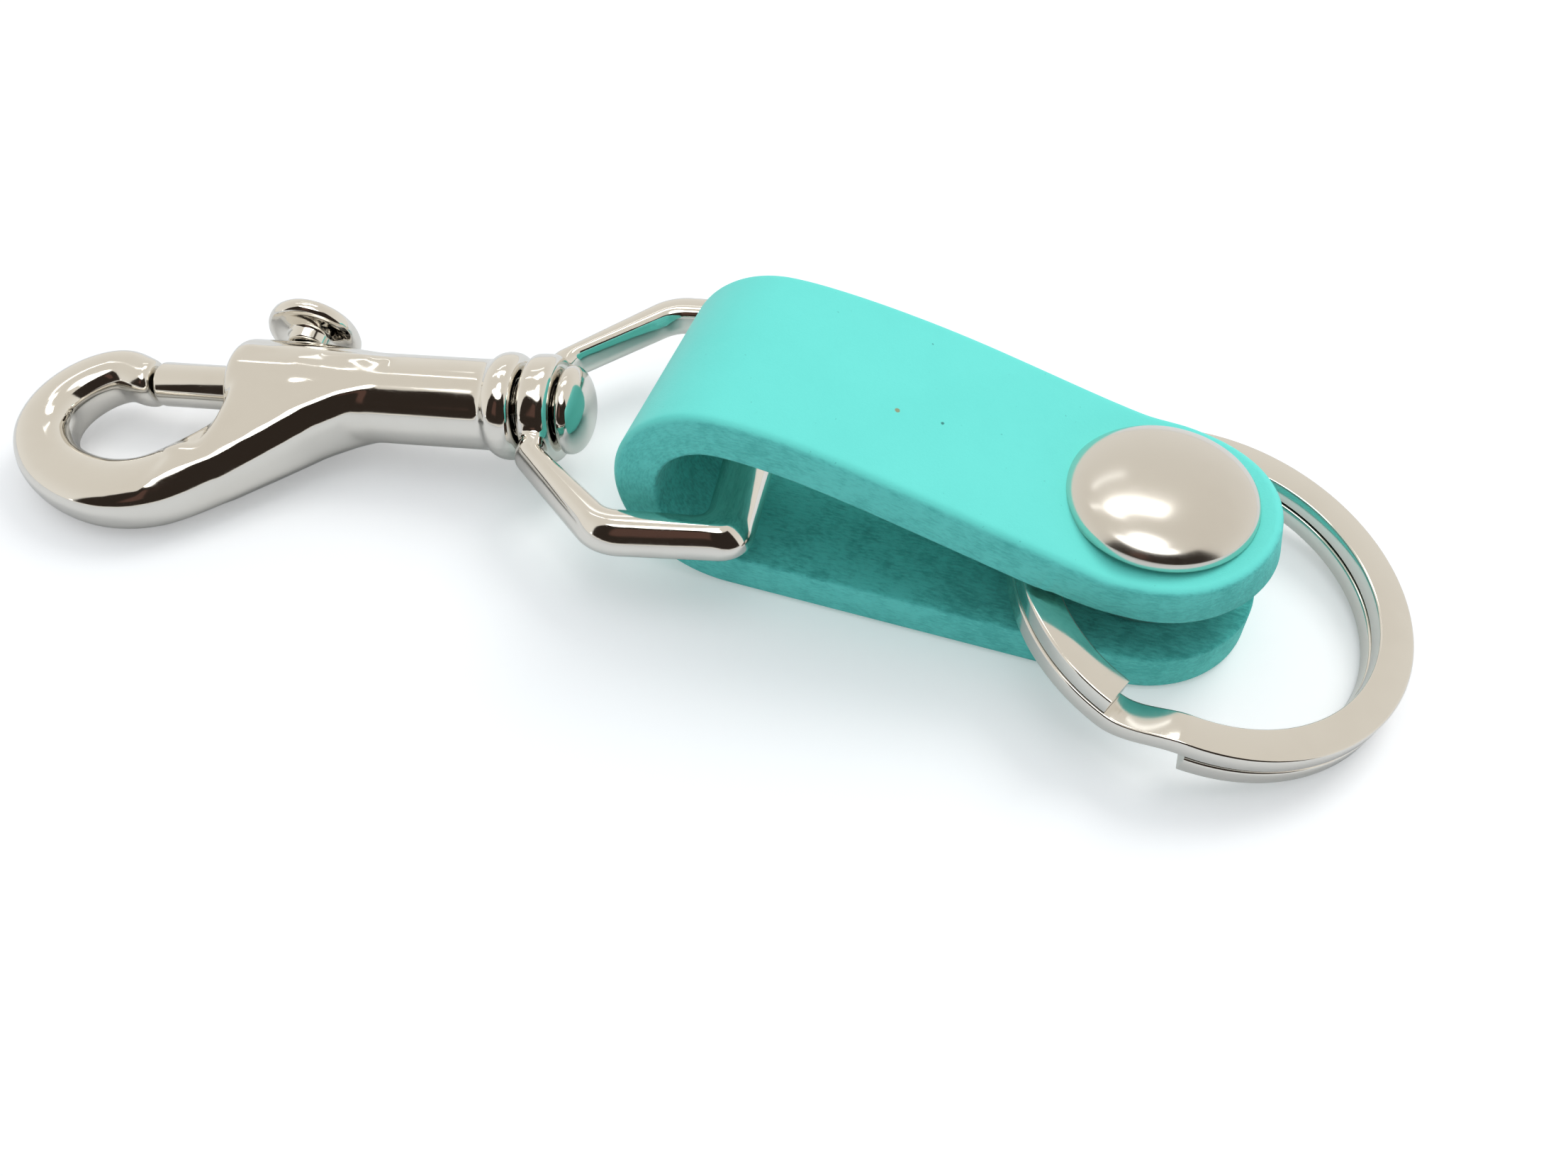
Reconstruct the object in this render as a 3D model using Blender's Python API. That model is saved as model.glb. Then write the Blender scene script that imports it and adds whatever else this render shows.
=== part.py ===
"""Valet keychain: a folded leather strap with a snap, a swivel bolt hook and a split key ring.

Frame, in metres: X runs along the strap from its fold to its free ends, Y across it and Z up.
The origin is on the snap's centre line, in the strap's underside, and the keychain lies on Z = 0.
"""
import math

import bmesh
import bpy
from mathutils import Matrix, Vector

# Clearances between neighbouring pieces
gap = 0.0003
overrun = 0.001
weld_distance = 0.00001

# Leather strap, one strip folded over the crossbar of the eye
strap_width = 0.0185
leather = 0.0038
fold_radius = 0.0095
fold_to_snap = 0.0329
end_overhang = 0.0092
end_overhang_lower = 0.0092
leather_edge = 0.0004
strap_tip_half_width = 0.0010
flap_height_at_snap = 0.0122
lip_rise = 0.0007
snap_flat = 0.0018
fold_ease = 0.0100
snap_ease = 0.0035

# Snap fastener through both layers
cap_radius = 0.0075
cap_rim = 0.0009
cap_crown = 0.0015
snap_post_radius = 0.0019
snap_head_radius = 0.0026
snap_head = 0.0005
socket_radius = 0.0060
socket_plate = 0.0005
socket_mouth_radius = 0.0039
socket_cavity_radius = 0.0044
socket_lip = 0.0008
socket_rounding = 0.0004
spring_wire_radius = 0.0002
spring_ring_inner_radius = 0.0035
stud_base_radius = 0.0058
stud_base = 0.0005
stud_bulb_radius = 0.0030
stud_neck_radius = 0.0026
stud_wall = 0.0006
post_flange_radius = 0.0050
post_flange = 0.0008
post_bore_radius = 0.0012
post_bore_floor = 0.0006

# Split key ring, two turns of flat wire
ring_outer_radius = 0.0162
ring_wire = 0.0028
ring_coil = 0.0016
ring_coil_gap = 0.0002
ring_edge = 0.00025
ring_play = 0.0022
ring_aside = 0.0014
ring_rise = 0.0030
ring_top_end = math.radians(-111.5)
ring_jog_start = math.radians(-450.0)
ring_jog_end = math.radians(-471.0)
ring_low_end = math.radians(-808.0)

# Swivel eye, the frame that the strap folds round, placed by its crossbar's centre
eye_past_fold = 0.0011
eye_aside = 0.0026
eye_above_fold = -0.0015
eye_yaw = math.radians(9.3)
eye_slope = math.radians(3.5)
eye_half_opening = 0.01215
eye_arm = 0.0035
eye_height = 0.0031
eye_crossbar = 0.0040
eye_reach = 0.0216
eye_shoulder = 0.0114
eye_splay = math.radians(40.0)
eye_outer_corner = 0.0026
eye_inner_corner = 0.0010
eye_boss_radius = 0.0048
eye_boss = 0.0034
eye_boss_rounding = 0.0010
eye_root_half_width = 0.0055

# Swivel rivet, the domed pin that closes the barrel
rivet_head_radius = 0.0039
rivet_head_side = 0.0010
rivet_head_dome = 0.0022
rivet_stem_radius = 0.0019
rivet_stem_depth = 0.0060

# Hook body, placed by the groove between its collar and the eye's boss
hook_roll = math.radians(8.0)
groove_width = 0.0004
barrel_radius = 0.00405
barrel_length = 0.0265
barrel_mouth_radius = 0.00465
barrel_mouth_rounding = 0.0006
collar_radius = 0.0048
collar_length = 0.0027
collar_rounding = 0.0009
bow_reach = 0.0443
bow_depth = 0.0127
bow_width = 0.0062
bow_height = 0.0052

# Bolt with its knob, and its spring
bolt_radius = 0.00205
bolt_behind_knob = 0.0035
bolt_tip_rounding = 0.0004
bolt_tip_gap = 0.0004
bolt_travel = 0.0080
knob_behind_mouth = 0.0042
knob_pin_radius = 0.0011
knob_pin_depth = 0.0011
knob_stem_radius = 0.0021
knob_stem = 0.0013
knob_radius = 0.0043
knob_thickness = 0.0022
coil_radius = 0.0014
coil_wire_radius = 0.0002
coil_turns = 9

# Counts of facets and steps
round_sides = 44
small_round_sides = 28
fold_steps = 12
flap_steps = 16
corner_steps = 5
bow_steps = 34
bow_sides = 16
coil_points_per_turn = 10
ring_steps_per_turn = 56

# Finishes
leather_colour = (0.17, 0.82, 0.73, 1.0)
cap_colour = (0.66, 0.64, 0.61, 1.0)
nickel_colour = (0.76, 0.74, 0.70, 1.0)
steel_colour = (0.55, 0.55, 0.54, 1.0)
leather_roughness = 0.55
cap_roughness = 0.32
nickel_roughness = 0.14

# Outlines, as shares of the sizes that they follow
end_angles = [math.radians(angle) for angle in (0.0, 22.0, 42.0, 58.0, 71.0, 81.0)]
dome_angles = [math.radians(angle) for angle in (0.0, 18.0, 36.0, 54.0, 72.0)]
# Across the arm from its flat inner face to its round outer face, and its height
eye_section_shares = [(0.0, -0.42), (0.0, 0.42), (0.07, 0.5), (0.45, 0.5), (0.72, 0.43),
                      (0.92, 0.26), (1.0, 0.0), (0.92, -0.26), (0.72, -0.43), (0.45, -0.5),
                      (0.07, -0.5)]
# Along the bow's centre line from its tip to its root: reach, depth, width and height
bow_shares = [(0.797, 0.0, 0.62, 0.84), (0.822, 0.005, 0.66, 0.88), (0.875, 0.055, 0.70, 0.92),
              (0.927, -0.010, 0.74, 0.94), (0.969, -0.150, 0.77, 0.96),
              (0.993, -0.340, 0.79, 0.97), (0.988, -0.560, 0.82, 0.98),
              (0.943, -0.775, 0.86, 0.99), (0.870, -0.925, 0.91, 1.00),
              (0.780, -0.990, 0.96, 1.02), (0.690, -0.930, 1.00, 1.06),
              (0.600, -0.715, 1.04, 1.13), (0.505, -0.410, 1.04, 1.25),
              (0.410, -0.155, 1.03, 1.38), (0.310, -0.025, 1.00, 1.46),
              (0.210, 0.010, 0.94, 1.40)]
bow_squareness = 2.6
# Round the bulb of the stud: radius and height
stud_shares = [(0.0, 0.0), (0.25, 0.35), (1.0, 0.62), (1.0, 0.80), (0.70, 1.0)]
# Round the knob's disc: radius and height
knob_shares = [(0.86, 0.0), (0.97, 0.12), (1.0, 0.30), (1.0, 0.52), (0.95, 0.68), (0.78, 0.86),
               (0.50, 0.96)]


# Scene helpers

def clear_scene():
    """Remove every object, so that the part starts from an empty scene."""
    for thing in list(bpy.data.objects):
        bpy.data.objects.remove(thing, do_unlink=True)


def make_material(name, colour, metallic, roughness):
    """A plain Principled material."""
    material = bpy.data.materials.new(name)
    material.use_nodes = True
    shader = material.node_tree.nodes["Principled BSDF"]
    shader.inputs["Base Color"].default_value = colour
    shader.inputs["Metallic"].default_value = metallic
    shader.inputs["Roughness"].default_value = roughness
    return material


def make_empty(name, world, parent=None):
    """An empty at a joint, placed by its world matrix; returned with that matrix."""
    empty = bpy.data.objects.new(name, None)
    bpy.context.scene.collection.objects.link(empty)
    empty.empty_display_size = fold_radius
    if parent:
        empty.parent = parent[0]
        empty.matrix_local = parent[1].inverted() @ world
    else:
        empty.matrix_local = world
    return empty, world


def finish_mesh(name, bm, material=None, parent=None, local=None):
    """Turn a bmesh into an object; a local mesh is drawn in its parent empty's frame."""
    bmesh.ops.remove_doubles(bm, verts=bm.verts[:], dist=weld_distance)
    bmesh.ops.recalc_face_normals(bm, faces=bm.faces[:])
    mesh = bpy.data.meshes.new(name)
    bm.to_mesh(mesh)
    bm.free()
    mesh.shade_smooth()
    mesh.set_sharp_from_angle(angle=math.radians(35.0))
    thing = bpy.data.objects.new(name, mesh)
    bpy.context.scene.collection.objects.link(thing)
    if material:
        mesh.materials.append(material)
    if parent:
        thing.parent = parent[0]
        thing.matrix_local = local if local else parent[1].inverted()
    return thing


def boolean(target, other, operation="DIFFERENCE"):
    """Add an exact Boolean to the target and keep the other shape as a hidden guide."""
    other.hide_render = True
    other.display_type = "WIRE"
    step = target.modifiers.new(other.name, "BOOLEAN")
    step.operation = operation
    step.solver = "EXACT"
    step.object = other


# Shape helpers

def lathe(points, sides):
    """Turn a closed profile of (distance from axis, height) points about Z."""
    rings = []
    for radius, height in points:
        rings.append([(radius * math.cos(math.tau * i / sides),
                       radius * math.sin(math.tau * i / sides), height) for i in range(sides)])
    bm = bmesh.new()
    rows = []
    for (radius, height), ring in zip(points, rings):
        if radius == 0.0:
            rows.append([bm.verts.new((0.0, 0.0, height))] * sides)
        else:
            rows.append([bm.verts.new(point) for point in ring])
    for first, second in zip(rows, rows[1:] + rows[:1]):
        for i in range(sides):
            j = (i + 1) % sides
            corners = list(dict.fromkeys((first[i], first[j], second[j], second[i])))
            if len(corners) > 2:
                bm.faces.new(corners)
    return bm


def bar(radius, low, high, sides=small_round_sides):
    """A plain round bar about Z, from one height to another."""
    return lathe([(0.0, low), (radius, low), (radius, high), (0.0, high)], sides)


def block(low, high):
    """A plain block between two corners."""
    bm = bmesh.new()
    low, high = Vector(low), Vector(high)
    place = Matrix.Translation((low + high) / 2.0) @ Matrix.Diagonal((*(high - low), 1.0))
    bmesh.ops.create_cube(bm, size=1.0, matrix=place)
    return bm


def loft(rings, closed=False):
    """Skin a list of equal rings of points, with flat ends unless it is closed."""
    bm = bmesh.new()
    rows = [[bm.verts.new(point) for point in ring] for ring in rings]
    count = len(rows[0])
    pairs = list(zip(rows, rows[1:]))
    if closed:
        pairs.append((rows[-1], rows[0]))
    for first, second in pairs:
        for i in range(count):
            j = (i + 1) % count
            bm.faces.new((first[i], first[j], second[j], second[i]))
    if not closed:
        bm.faces.new(list(reversed(rows[0])))
        bm.faces.new(rows[-1])
    return bm


def smooth_value(values, share):
    """Read a smooth value at a share along a list of evenly spaced ones."""
    last = len(values) - 1
    place = min(max(share, 0.0), 1.0) * last
    index = min(int(place), last - 1)
    part = place - index
    before = values[max(index - 1, 0)]
    start, end = values[index], values[index + 1]
    after = values[min(index + 2, last)]
    square, cube = part * part, part * part * part
    return 0.5 * (2.0 * start + (end - before) * part
                  + (2.0 * before - 5.0 * start + 4.0 * end - after) * square
                  + (3.0 * start - before - 3.0 * end + after) * cube)


def rounded_corner(before, corner, after, radius):
    """Points round one corner of an outline, as many for every radius."""
    before, corner, after = Vector(before), Vector(corner), Vector(after)
    back = (before - corner).normalized()
    ahead = (after - corner).normalized()
    half = back.angle(ahead) / 2.0
    reach = radius / math.tan(half)
    middle = corner + (back + ahead).normalized() * (radius / math.sin(half))
    start = corner + back * reach - middle
    end = corner + ahead * reach - middle
    turn = start.angle_signed(end)
    points = []
    for step in range(corner_steps + 1):
        spoke = start.copy()
        spoke.rotate(Matrix.Rotation(-turn * step / corner_steps, 2))
        points.append(middle + spoke)
    return points


# Turns that lay a shape made about Z along the swivel's axis or across it
to_length = Matrix.Rotation(math.radians(90.0), 4, "Y")
to_side = Matrix.Rotation(math.radians(-90.0), 4, "X")


# Leather strap

def strap_section(half_width):
    """Points round a strap's cross section, as (across, share of the thickness)."""
    ease = min(leather_edge, leather / 4.0, half_width / 2.0)
    inset = ease / leather
    return [(-half_width + ease, 0.0), (half_width - ease, 0.0), (half_width, inset),
            (half_width, 1.0 - inset), (half_width - ease, 1.0), (-half_width + ease, 1.0),
            (-half_width, 1.0 - inset), (-half_width, inset)]


def strap_loft(path, overhang):
    """Loft the strap along (outer point, direction to the inner side) pairs in the XZ plane."""
    half = strap_width / 2.0
    rings = []
    for outer, inward in path:
        past = outer[0] - (overhang - half)
        half_width = half
        if past > 0.0:
            half_width = math.sqrt(max(half * half - past * past, 0.0))
        half_width = max(half_width, strap_tip_half_width)
        rings.append([(outer[0] + inward[0] * leather * share, across,
                       outer[1] + inward[1] * leather * share)
                      for across, share in strap_section(half_width)])
    return loft(rings)


def end_reaches(overhang):
    """Stations along the round end, closer together towards its tip."""
    half = strap_width / 2.0
    return [overhang - half + half * math.sin(angle) for angle in end_angles] + [overhang]


def fold_path(start, end):
    """Stations round the fold between two angles about its centre."""
    stations = []
    centre = Vector((-fold_to_snap, fold_radius))
    for step in range(fold_steps + 1):
        angle = start + (end - start) * step / fold_steps
        out = Vector((math.cos(angle), math.sin(angle)))
        stations.append((centre + out * fold_radius, -out))
    return stations


def flap_path():
    """Stations along the upper layer, from the top of the fold to its round end."""
    start = Vector((-fold_to_snap, fold_radius + fold_radius))
    finish = Vector((-snap_flat, flap_height_at_snap))
    leave = start + Vector((fold_ease, 0.0))
    arrive = finish - Vector((snap_ease, 0.0))
    outer = []
    for step in range(flap_steps + 1):
        t = step / flap_steps
        s = 1.0 - t
        outer.append(start * (s * s * s) + leave * (3.0 * s * s * t)
                     + arrive * (3.0 * s * t * t) + finish * (t * t * t))
    for reach in end_reaches(end_overhang):
        if reach > snap_flat:
            rise = (reach - snap_flat) / (end_overhang - snap_flat)
            outer.append(Vector((reach, flap_height_at_snap + lip_rise * rise * rise)))
    stations = []
    for index in range(len(outer)):
        run = outer[min(index + 1, len(outer) - 1)] - outer[max(index - 1, 0)]
        run.normalize()
        stations.append((outer[index], Vector((run.y, -run.x))))
    return stations


def make_strap_lower(finish):
    """The lower layer with the lower half of the fold, and the hole for the snap's post."""
    lift = math.asin(gap / 2.0 / fold_radius)
    path = fold_path(math.pi + lift, math.pi * 1.5)
    rest = end_reaches(end_overhang_lower)
    run = [-fold_to_snap + (rest[0] + fold_to_snap) * step / 4.0 for step in (1, 2, 3)] + rest
    path += [(Vector((reach, 0.0)), Vector((0.0, 1.0))) for reach in run]
    strap = finish_mesh("strap_lower", strap_loft(path, end_overhang_lower), finish)
    hole = bar(snap_post_radius + gap, -overrun, leather + overrun)
    boolean(strap, finish_mesh("post_hole", hole))
    seat = bar(post_flange_radius + gap, -overrun, post_flange + gap, round_sides)
    boolean(strap, finish_mesh("post_seat", seat))
    return strap


def make_strap_flap(finish, flap_frame):
    """The upper half of the fold and the upper layer, which lifts to let the ring off."""
    lift = math.asin(gap / 2.0 / fold_radius)
    path = fold_path(math.pi - lift, math.pi / 2.0) + flap_path()[1:]
    strap = finish_mesh("strap_flap", strap_loft(path, end_overhang), finish, flap_frame)
    hole = bar(snap_post_radius + gap, flap_height_at_snap - leather - overrun,
               flap_height_at_snap + overrun)
    boolean(strap, finish_mesh("cap_post_hole", hole, None, flap_frame))
    seat = bar(cap_radius + gap, flap_height_at_snap - gap, flap_height_at_snap + cap_radius,
               round_sides)
    boolean(strap, finish_mesh("cap_seat", seat, None, flap_frame))
    return strap


# Snap fastener

def make_snap_cap(finish, flap_frame):
    """Domed cap with the post that goes through the upper layer and holds the socket."""
    seat = flap_height_at_snap
    under = seat - leather
    head_top = under - gap - socket_plate - gap
    head_low = head_top - snap_head
    foot = cap_rim / 3.0
    profile = [(0.0, head_low), (snap_head_radius, head_low), (snap_head_radius, head_top),
               (snap_post_radius, head_top), (snap_post_radius, seat),
               (cap_radius - foot, seat), (cap_radius, seat + foot)]
    for angle in dome_angles:
        profile.append((cap_radius * math.cos(angle) ** 0.55,
                        seat + cap_rim + cap_crown * math.sin(angle)))
    profile.append((0.0, seat + cap_rim + cap_crown))
    return finish_mesh("snap_cap", lathe(profile, round_sides), finish, flap_frame)


def socket_levels():
    """Heights of the socket's top, ceiling, lip and bottom, and of the floor below it."""
    top = flap_height_at_snap - leather - gap
    floor = leather + gap + stud_base
    return top, top - socket_plate, floor + gap + socket_lip, floor + gap


def make_snap_socket(finish, flap_frame):
    """The open cup under the upper layer that snaps over the stud."""
    top, ceiling, lip, bottom = socket_levels()
    profile = [(snap_post_radius + gap, top), (snap_post_radius + gap, ceiling),
               (socket_cavity_radius, ceiling), (socket_cavity_radius, lip),
               (socket_mouth_radius, lip), (socket_mouth_radius, bottom),
               (socket_radius - socket_rounding, bottom),
               (socket_radius, bottom + socket_rounding),
               (socket_radius, top - socket_rounding), (socket_radius - socket_rounding, top)]
    return finish_mesh("snap_socket", lathe(profile, round_sides), finish, flap_frame)


def make_socket_spring(finish, flap_frame):
    """The wire ring above the socket's lip that grips the stud."""
    top, ceiling, lip, bottom = socket_levels()
    centre = spring_ring_inner_radius + spring_wire_radius
    height = lip + gap + spring_wire_radius
    profile = [(centre + spring_wire_radius * math.cos(math.tau * i / 8),
                height + spring_wire_radius * math.sin(math.tau * i / 8)) for i in range(8)]
    return finish_mesh("socket_spring", lathe(profile, small_round_sides), finish, flap_frame)


def stud_top():
    """The height of the stud's top, under the head of the cap's post."""
    return socket_levels()[1] - gap - snap_head - gap


def make_snap_stud(finish):
    """The hollow stud on the lower layer that the socket snaps over."""
    low = leather + gap
    base = low + stud_base
    rise = stud_top() - base
    bore = snap_post_radius + gap
    swell = stud_bulb_radius - stud_neck_radius
    profile = [(bore, low), (stud_base_radius, low), (stud_base_radius, base)]
    profile += [(stud_neck_radius + swell * out_share, base + rise * up_share)
                for out_share, up_share in stud_shares]
    profile.append((bore, stud_top()))
    return finish_mesh("snap_stud", lathe(profile, small_round_sides), finish)


def make_snap_post(finish):
    """The hollow rivet that goes up through the lower layer and holds the stud."""
    top = stud_top() - stud_wall
    profile = [(0.0, 0.0), (post_flange_radius, 0.0), (post_flange_radius, post_flange),
               (snap_post_radius, post_flange), (snap_post_radius, top),
               (post_bore_radius, top), (post_bore_radius, post_bore_floor + post_flange),
               (0.0, post_bore_floor + post_flange)]
    return finish_mesh("snap_post", lathe(profile, round_sides), finish)


# Split key ring

def ring_height(angle):
    """Height of the wire's centre at an angle along its two turns."""
    half_step = (ring_coil + ring_coil_gap) / 2.0
    share = (angle - ring_jog_start) / (ring_jog_end - ring_jog_start)
    share = min(max(share, 0.0), 1.0)
    ease = share * share * (3.0 - 2.0 * share)
    return half_step - 2.0 * half_step * ease


def make_key_ring(finish, ring_frame):
    """Two flat turns of square-cut wire with one step between them."""
    turn = math.tau / ring_steps_per_turn
    angles = []
    for start, end in ((ring_top_end, ring_jog_start), (ring_jog_start, ring_jog_end),
                       (ring_jog_end, ring_low_end)):
        finer = 4.0 if start == ring_jog_start else 1.0
        steps = max(1, round(abs(end - start) / turn * finer))
        angles += [start + (end - start) * step / steps for step in range(steps)]
    angles.append(ring_low_end)
    half_width = ring_wire / 2.0
    middle = ring_outer_radius - half_width
    half_coil = ring_coil / 2.0
    ease = min(ring_edge, half_coil / 2.0, half_width / 2.0)
    section = [(-half_width, -half_coil + ease), (-half_width + ease, -half_coil),
               (half_width - ease, -half_coil), (half_width, -half_coil + ease),
               (half_width, half_coil - ease), (half_width - ease, half_coil),
               (-half_width + ease, half_coil), (-half_width, half_coil - ease)]
    rings = []
    for angle in angles:
        height = ring_height(angle)
        rings.append([((middle + out) * math.cos(angle), (middle + out) * math.sin(angle),
                       height + up) for out, up in section])
    return finish_mesh("key_ring", loft(rings), finish, ring_frame, Matrix())


# Swivel eye

def eye_outlines():
    """Inner and outer points of one half of the eye, from its boss to its crossbar."""
    slope = math.tan(eye_splay)
    inner_face = eye_reach - eye_crossbar / 2.0
    outer_face = eye_reach + eye_crossbar / 2.0
    root = eye_boss / 2.0
    root_side = eye_half_opening - (eye_shoulder - eye_boss) * slope
    shift = eye_arm / math.cos(eye_splay)
    far_side = eye_half_opening + eye_arm
    outer_shoulder = eye_shoulder - (eye_half_opening + shift - far_side) / slope
    start = (root, 0.0)
    near = (eye_boss, root_side)
    shoulder = (eye_shoulder, eye_half_opening)
    corner = (inner_face, eye_half_opening)
    inner = [Vector(start)] + [Vector(near)] * (corner_steps + 1)
    inner += rounded_corner(near, shoulder, corner, eye_outer_corner)
    inner += rounded_corner(shoulder, corner, (inner_face, 0.0), eye_inner_corner)
    outer_root = (0.0, eye_root_half_width)
    splay_start = outer_shoulder - (far_side - eye_root_half_width) / slope
    outer_start = (max(splay_start, 0.0) + groove_width, eye_root_half_width)
    outer_bend = (outer_shoulder, far_side)
    outer_end = (outer_face, far_side)
    outer = [Vector((root / 2.0, 0.0))]
    outer += rounded_corner((root / 2.0, 0.0), outer_root, outer_bend, eye_boss_rounding)
    outer += rounded_corner(outer_start, outer_bend, outer_end, eye_outer_corner * 2.0)
    outer += rounded_corner(outer_bend, outer_end, (outer_face, 0.0), eye_outer_corner)
    return inner, outer


def make_swivel_eye(finish, eye_frame):
    """The frame with a bored boss at one end and the strap's crossbar at the other."""
    inner, outer = eye_outlines()
    half = list(zip(inner, outer))
    whole = half + [(Vector((a.x, -a.y)), Vector((b.x, -b.y))) for a, b in reversed(half[1:])]
    rings = []
    for inside, outside in whole:
        across = outside - inside
        rings.append([(inside.x + across.x * out_share - eye_reach,
                       inside.y + across.y * out_share, eye_height * up_share)
                      for out_share, up_share in eye_section_shares])
    eye = finish_mesh("swivel_eye", loft(rings, True), finish, eye_frame, Matrix())
    at_groove = Matrix.Translation((-eye_reach, 0.0, 0.0)) @ to_length
    soft = eye_boss_rounding
    profile = [(0.0, 0.0), (eye_boss_radius - soft, 0.0),
               (eye_boss_radius - soft * 0.3, soft * 0.3), (eye_boss_radius, soft),
               (eye_boss_radius, eye_boss - soft), (eye_boss_radius - soft * 0.3,
                                                    eye_boss - soft * 0.3),
               (eye_boss_radius - soft, eye_boss), (0.0, eye_boss)]
    boss = finish_mesh("eye_boss", lathe(profile, round_sides), None, eye_frame, at_groove)
    boolean(eye, boss, "UNION")
    bore = bar(rivet_stem_radius + gap, -overrun, eye_boss + overrun)
    boolean(eye, finish_mesh("eye_bore", bore, None, eye_frame, at_groove))
    return eye


def make_swivel_rivet(finish, swivel_frame):
    """Domed rivet through the boss into the end of the barrel."""
    head = eye_boss + gap
    crown = head + rivet_head_side
    profile = [(0.0, -rivet_stem_depth), (rivet_stem_radius, -rivet_stem_depth),
               (rivet_stem_radius, head), (rivet_head_radius, head)]
    profile += [(rivet_head_radius * math.cos(angle), crown + rivet_head_dome * math.sin(angle))
                for angle in dome_angles]
    profile.append((0.0, crown + rivet_head_dome))
    return finish_mesh("swivel_rivet", lathe(profile, round_sides), finish, swivel_frame,
                       to_length)


# Hook body

def bow_point(share):
    """Centre, width and height of the bow at a share of the way from its tip to its root."""
    along, aside, wide, high = [smooth_value([row[column] for row in bow_shares], share)
                                for column in range(4)]
    return Vector((-bow_reach * along, bow_depth * aside)), bow_width * wide, bow_height * high


def make_hook_body(finish, swivel_frame):
    """Barrel and collar with the bow cast on its front, bored for the bolt."""
    rings = []
    for step in range(bow_steps + 1):
        share = step / bow_steps
        centre, width, height = bow_point(share)
        little = 0.5 / bow_steps
        run = bow_point(share + little)[0] - bow_point(share - little)[0]
        run.normalize()
        if step == 0:
            run = Vector((-1.0, 0.0))
        side = Vector((-run.y, run.x))
        ring = []
        for index in range(bow_sides):
            angle = math.tau * (index + 0.5) / bow_sides
            cos, sin = math.cos(angle), math.sin(angle)
            size = (abs(cos) ** bow_squareness + abs(sin) ** bow_squareness) ** (
                -1.0 / bow_squareness)
            across = side * (cos * size * width / 2.0)
            ring.append((centre.x + across.x, centre.y + across.y, sin * size * height / 2.0))
        rings.append(ring)
    hook = finish_mesh("hook_body", loft(rings), finish, swivel_frame, Matrix())
    soft, mouth = collar_rounding, barrel_mouth_rounding
    back, front = -groove_width, -barrel_length
    collar_front = back - collar_length
    taper = barrel_length / 4.0
    profile = [(0.0, back), (collar_radius - soft, back),
               (collar_radius - soft * 0.3, back - soft * 0.3), (collar_radius, back - soft),
               (collar_radius, collar_front + soft),
               (collar_radius - soft * 0.4, collar_front + soft * 0.2),
               (barrel_radius, collar_front), (barrel_radius, front + taper + taper),
               (barrel_mouth_radius, front + taper), (barrel_mouth_radius, front + mouth),
               (barrel_mouth_radius - mouth, front), (0.0, front)]
    barrel = finish_mesh("barrel", lathe(profile, round_sides), None, swivel_frame, to_length)
    boolean(hook, barrel, "UNION")
    bore = bar(bolt_radius + gap, front - overrun, back + overrun)
    boolean(hook, finish_mesh("bolt_bore", bore, None, swivel_frame, to_length))
    front_end = knob_place() - knob_pin_radius - gap
    back_end = knob_place() + bolt_travel + knob_pin_radius + gap
    half_slot = knob_pin_radius + gap
    slot = block((front_end, 0.0, -half_slot), (back_end, barrel_radius + collar_radius,
                                                half_slot))
    boolean(hook, finish_mesh("knob_slot", slot, None, swivel_frame, Matrix()))
    return hook


# Bolt, knob and spring

def bolt_tip():
    """Where the closed bolt ends, just short of the bow's tip."""
    return -bow_reach * bow_shares[0][0] + bolt_tip_gap


def knob_place():
    """The knob's place along the barrel with the bolt closed."""
    return -barrel_length + knob_behind_mouth


def bolt_back():
    """Where the closed bolt ends inside the barrel."""
    return knob_place() + bolt_behind_knob


def make_bolt(finish, bolt_frame):
    """Round bolt that closes the hook, with a hole for the knob's pin."""
    front = bolt_tip() - knob_place()
    back = bolt_back() - knob_place()
    soft = bolt_tip_rounding
    profile = [(0.0, front), (bolt_radius - soft, front), (bolt_radius, front + soft),
               (bolt_radius, back - soft), (bolt_radius - soft, back), (0.0, back)]
    bolt = finish_mesh("bolt", lathe(profile, small_round_sides), finish, bolt_frame, to_length)
    hole = bar(knob_pin_radius + gap, bolt_radius - knob_pin_depth - gap,
               bolt_radius + overrun)
    boolean(bolt, finish_mesh("pin_hole", hole, None, bolt_frame, to_side))
    return bolt


def make_thumb_knob(finish, bolt_frame):
    """Round knob on a stem, pinned into the bolt through the barrel's slot."""
    foot = barrel_mouth_radius + gap
    disc = foot + knob_stem
    profile = [(0.0, bolt_radius - knob_pin_depth),
               (knob_pin_radius, bolt_radius - knob_pin_depth), (knob_pin_radius, foot),
               (knob_stem_radius, foot), (knob_stem_radius, disc)]
    profile += [(knob_radius * out_share, disc + knob_thickness * up_share)
                for out_share, up_share in knob_shares]
    profile.append((0.0, disc + knob_thickness))
    return finish_mesh("thumb_knob", lathe(profile, round_sides), finish, bolt_frame, to_side)


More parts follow.
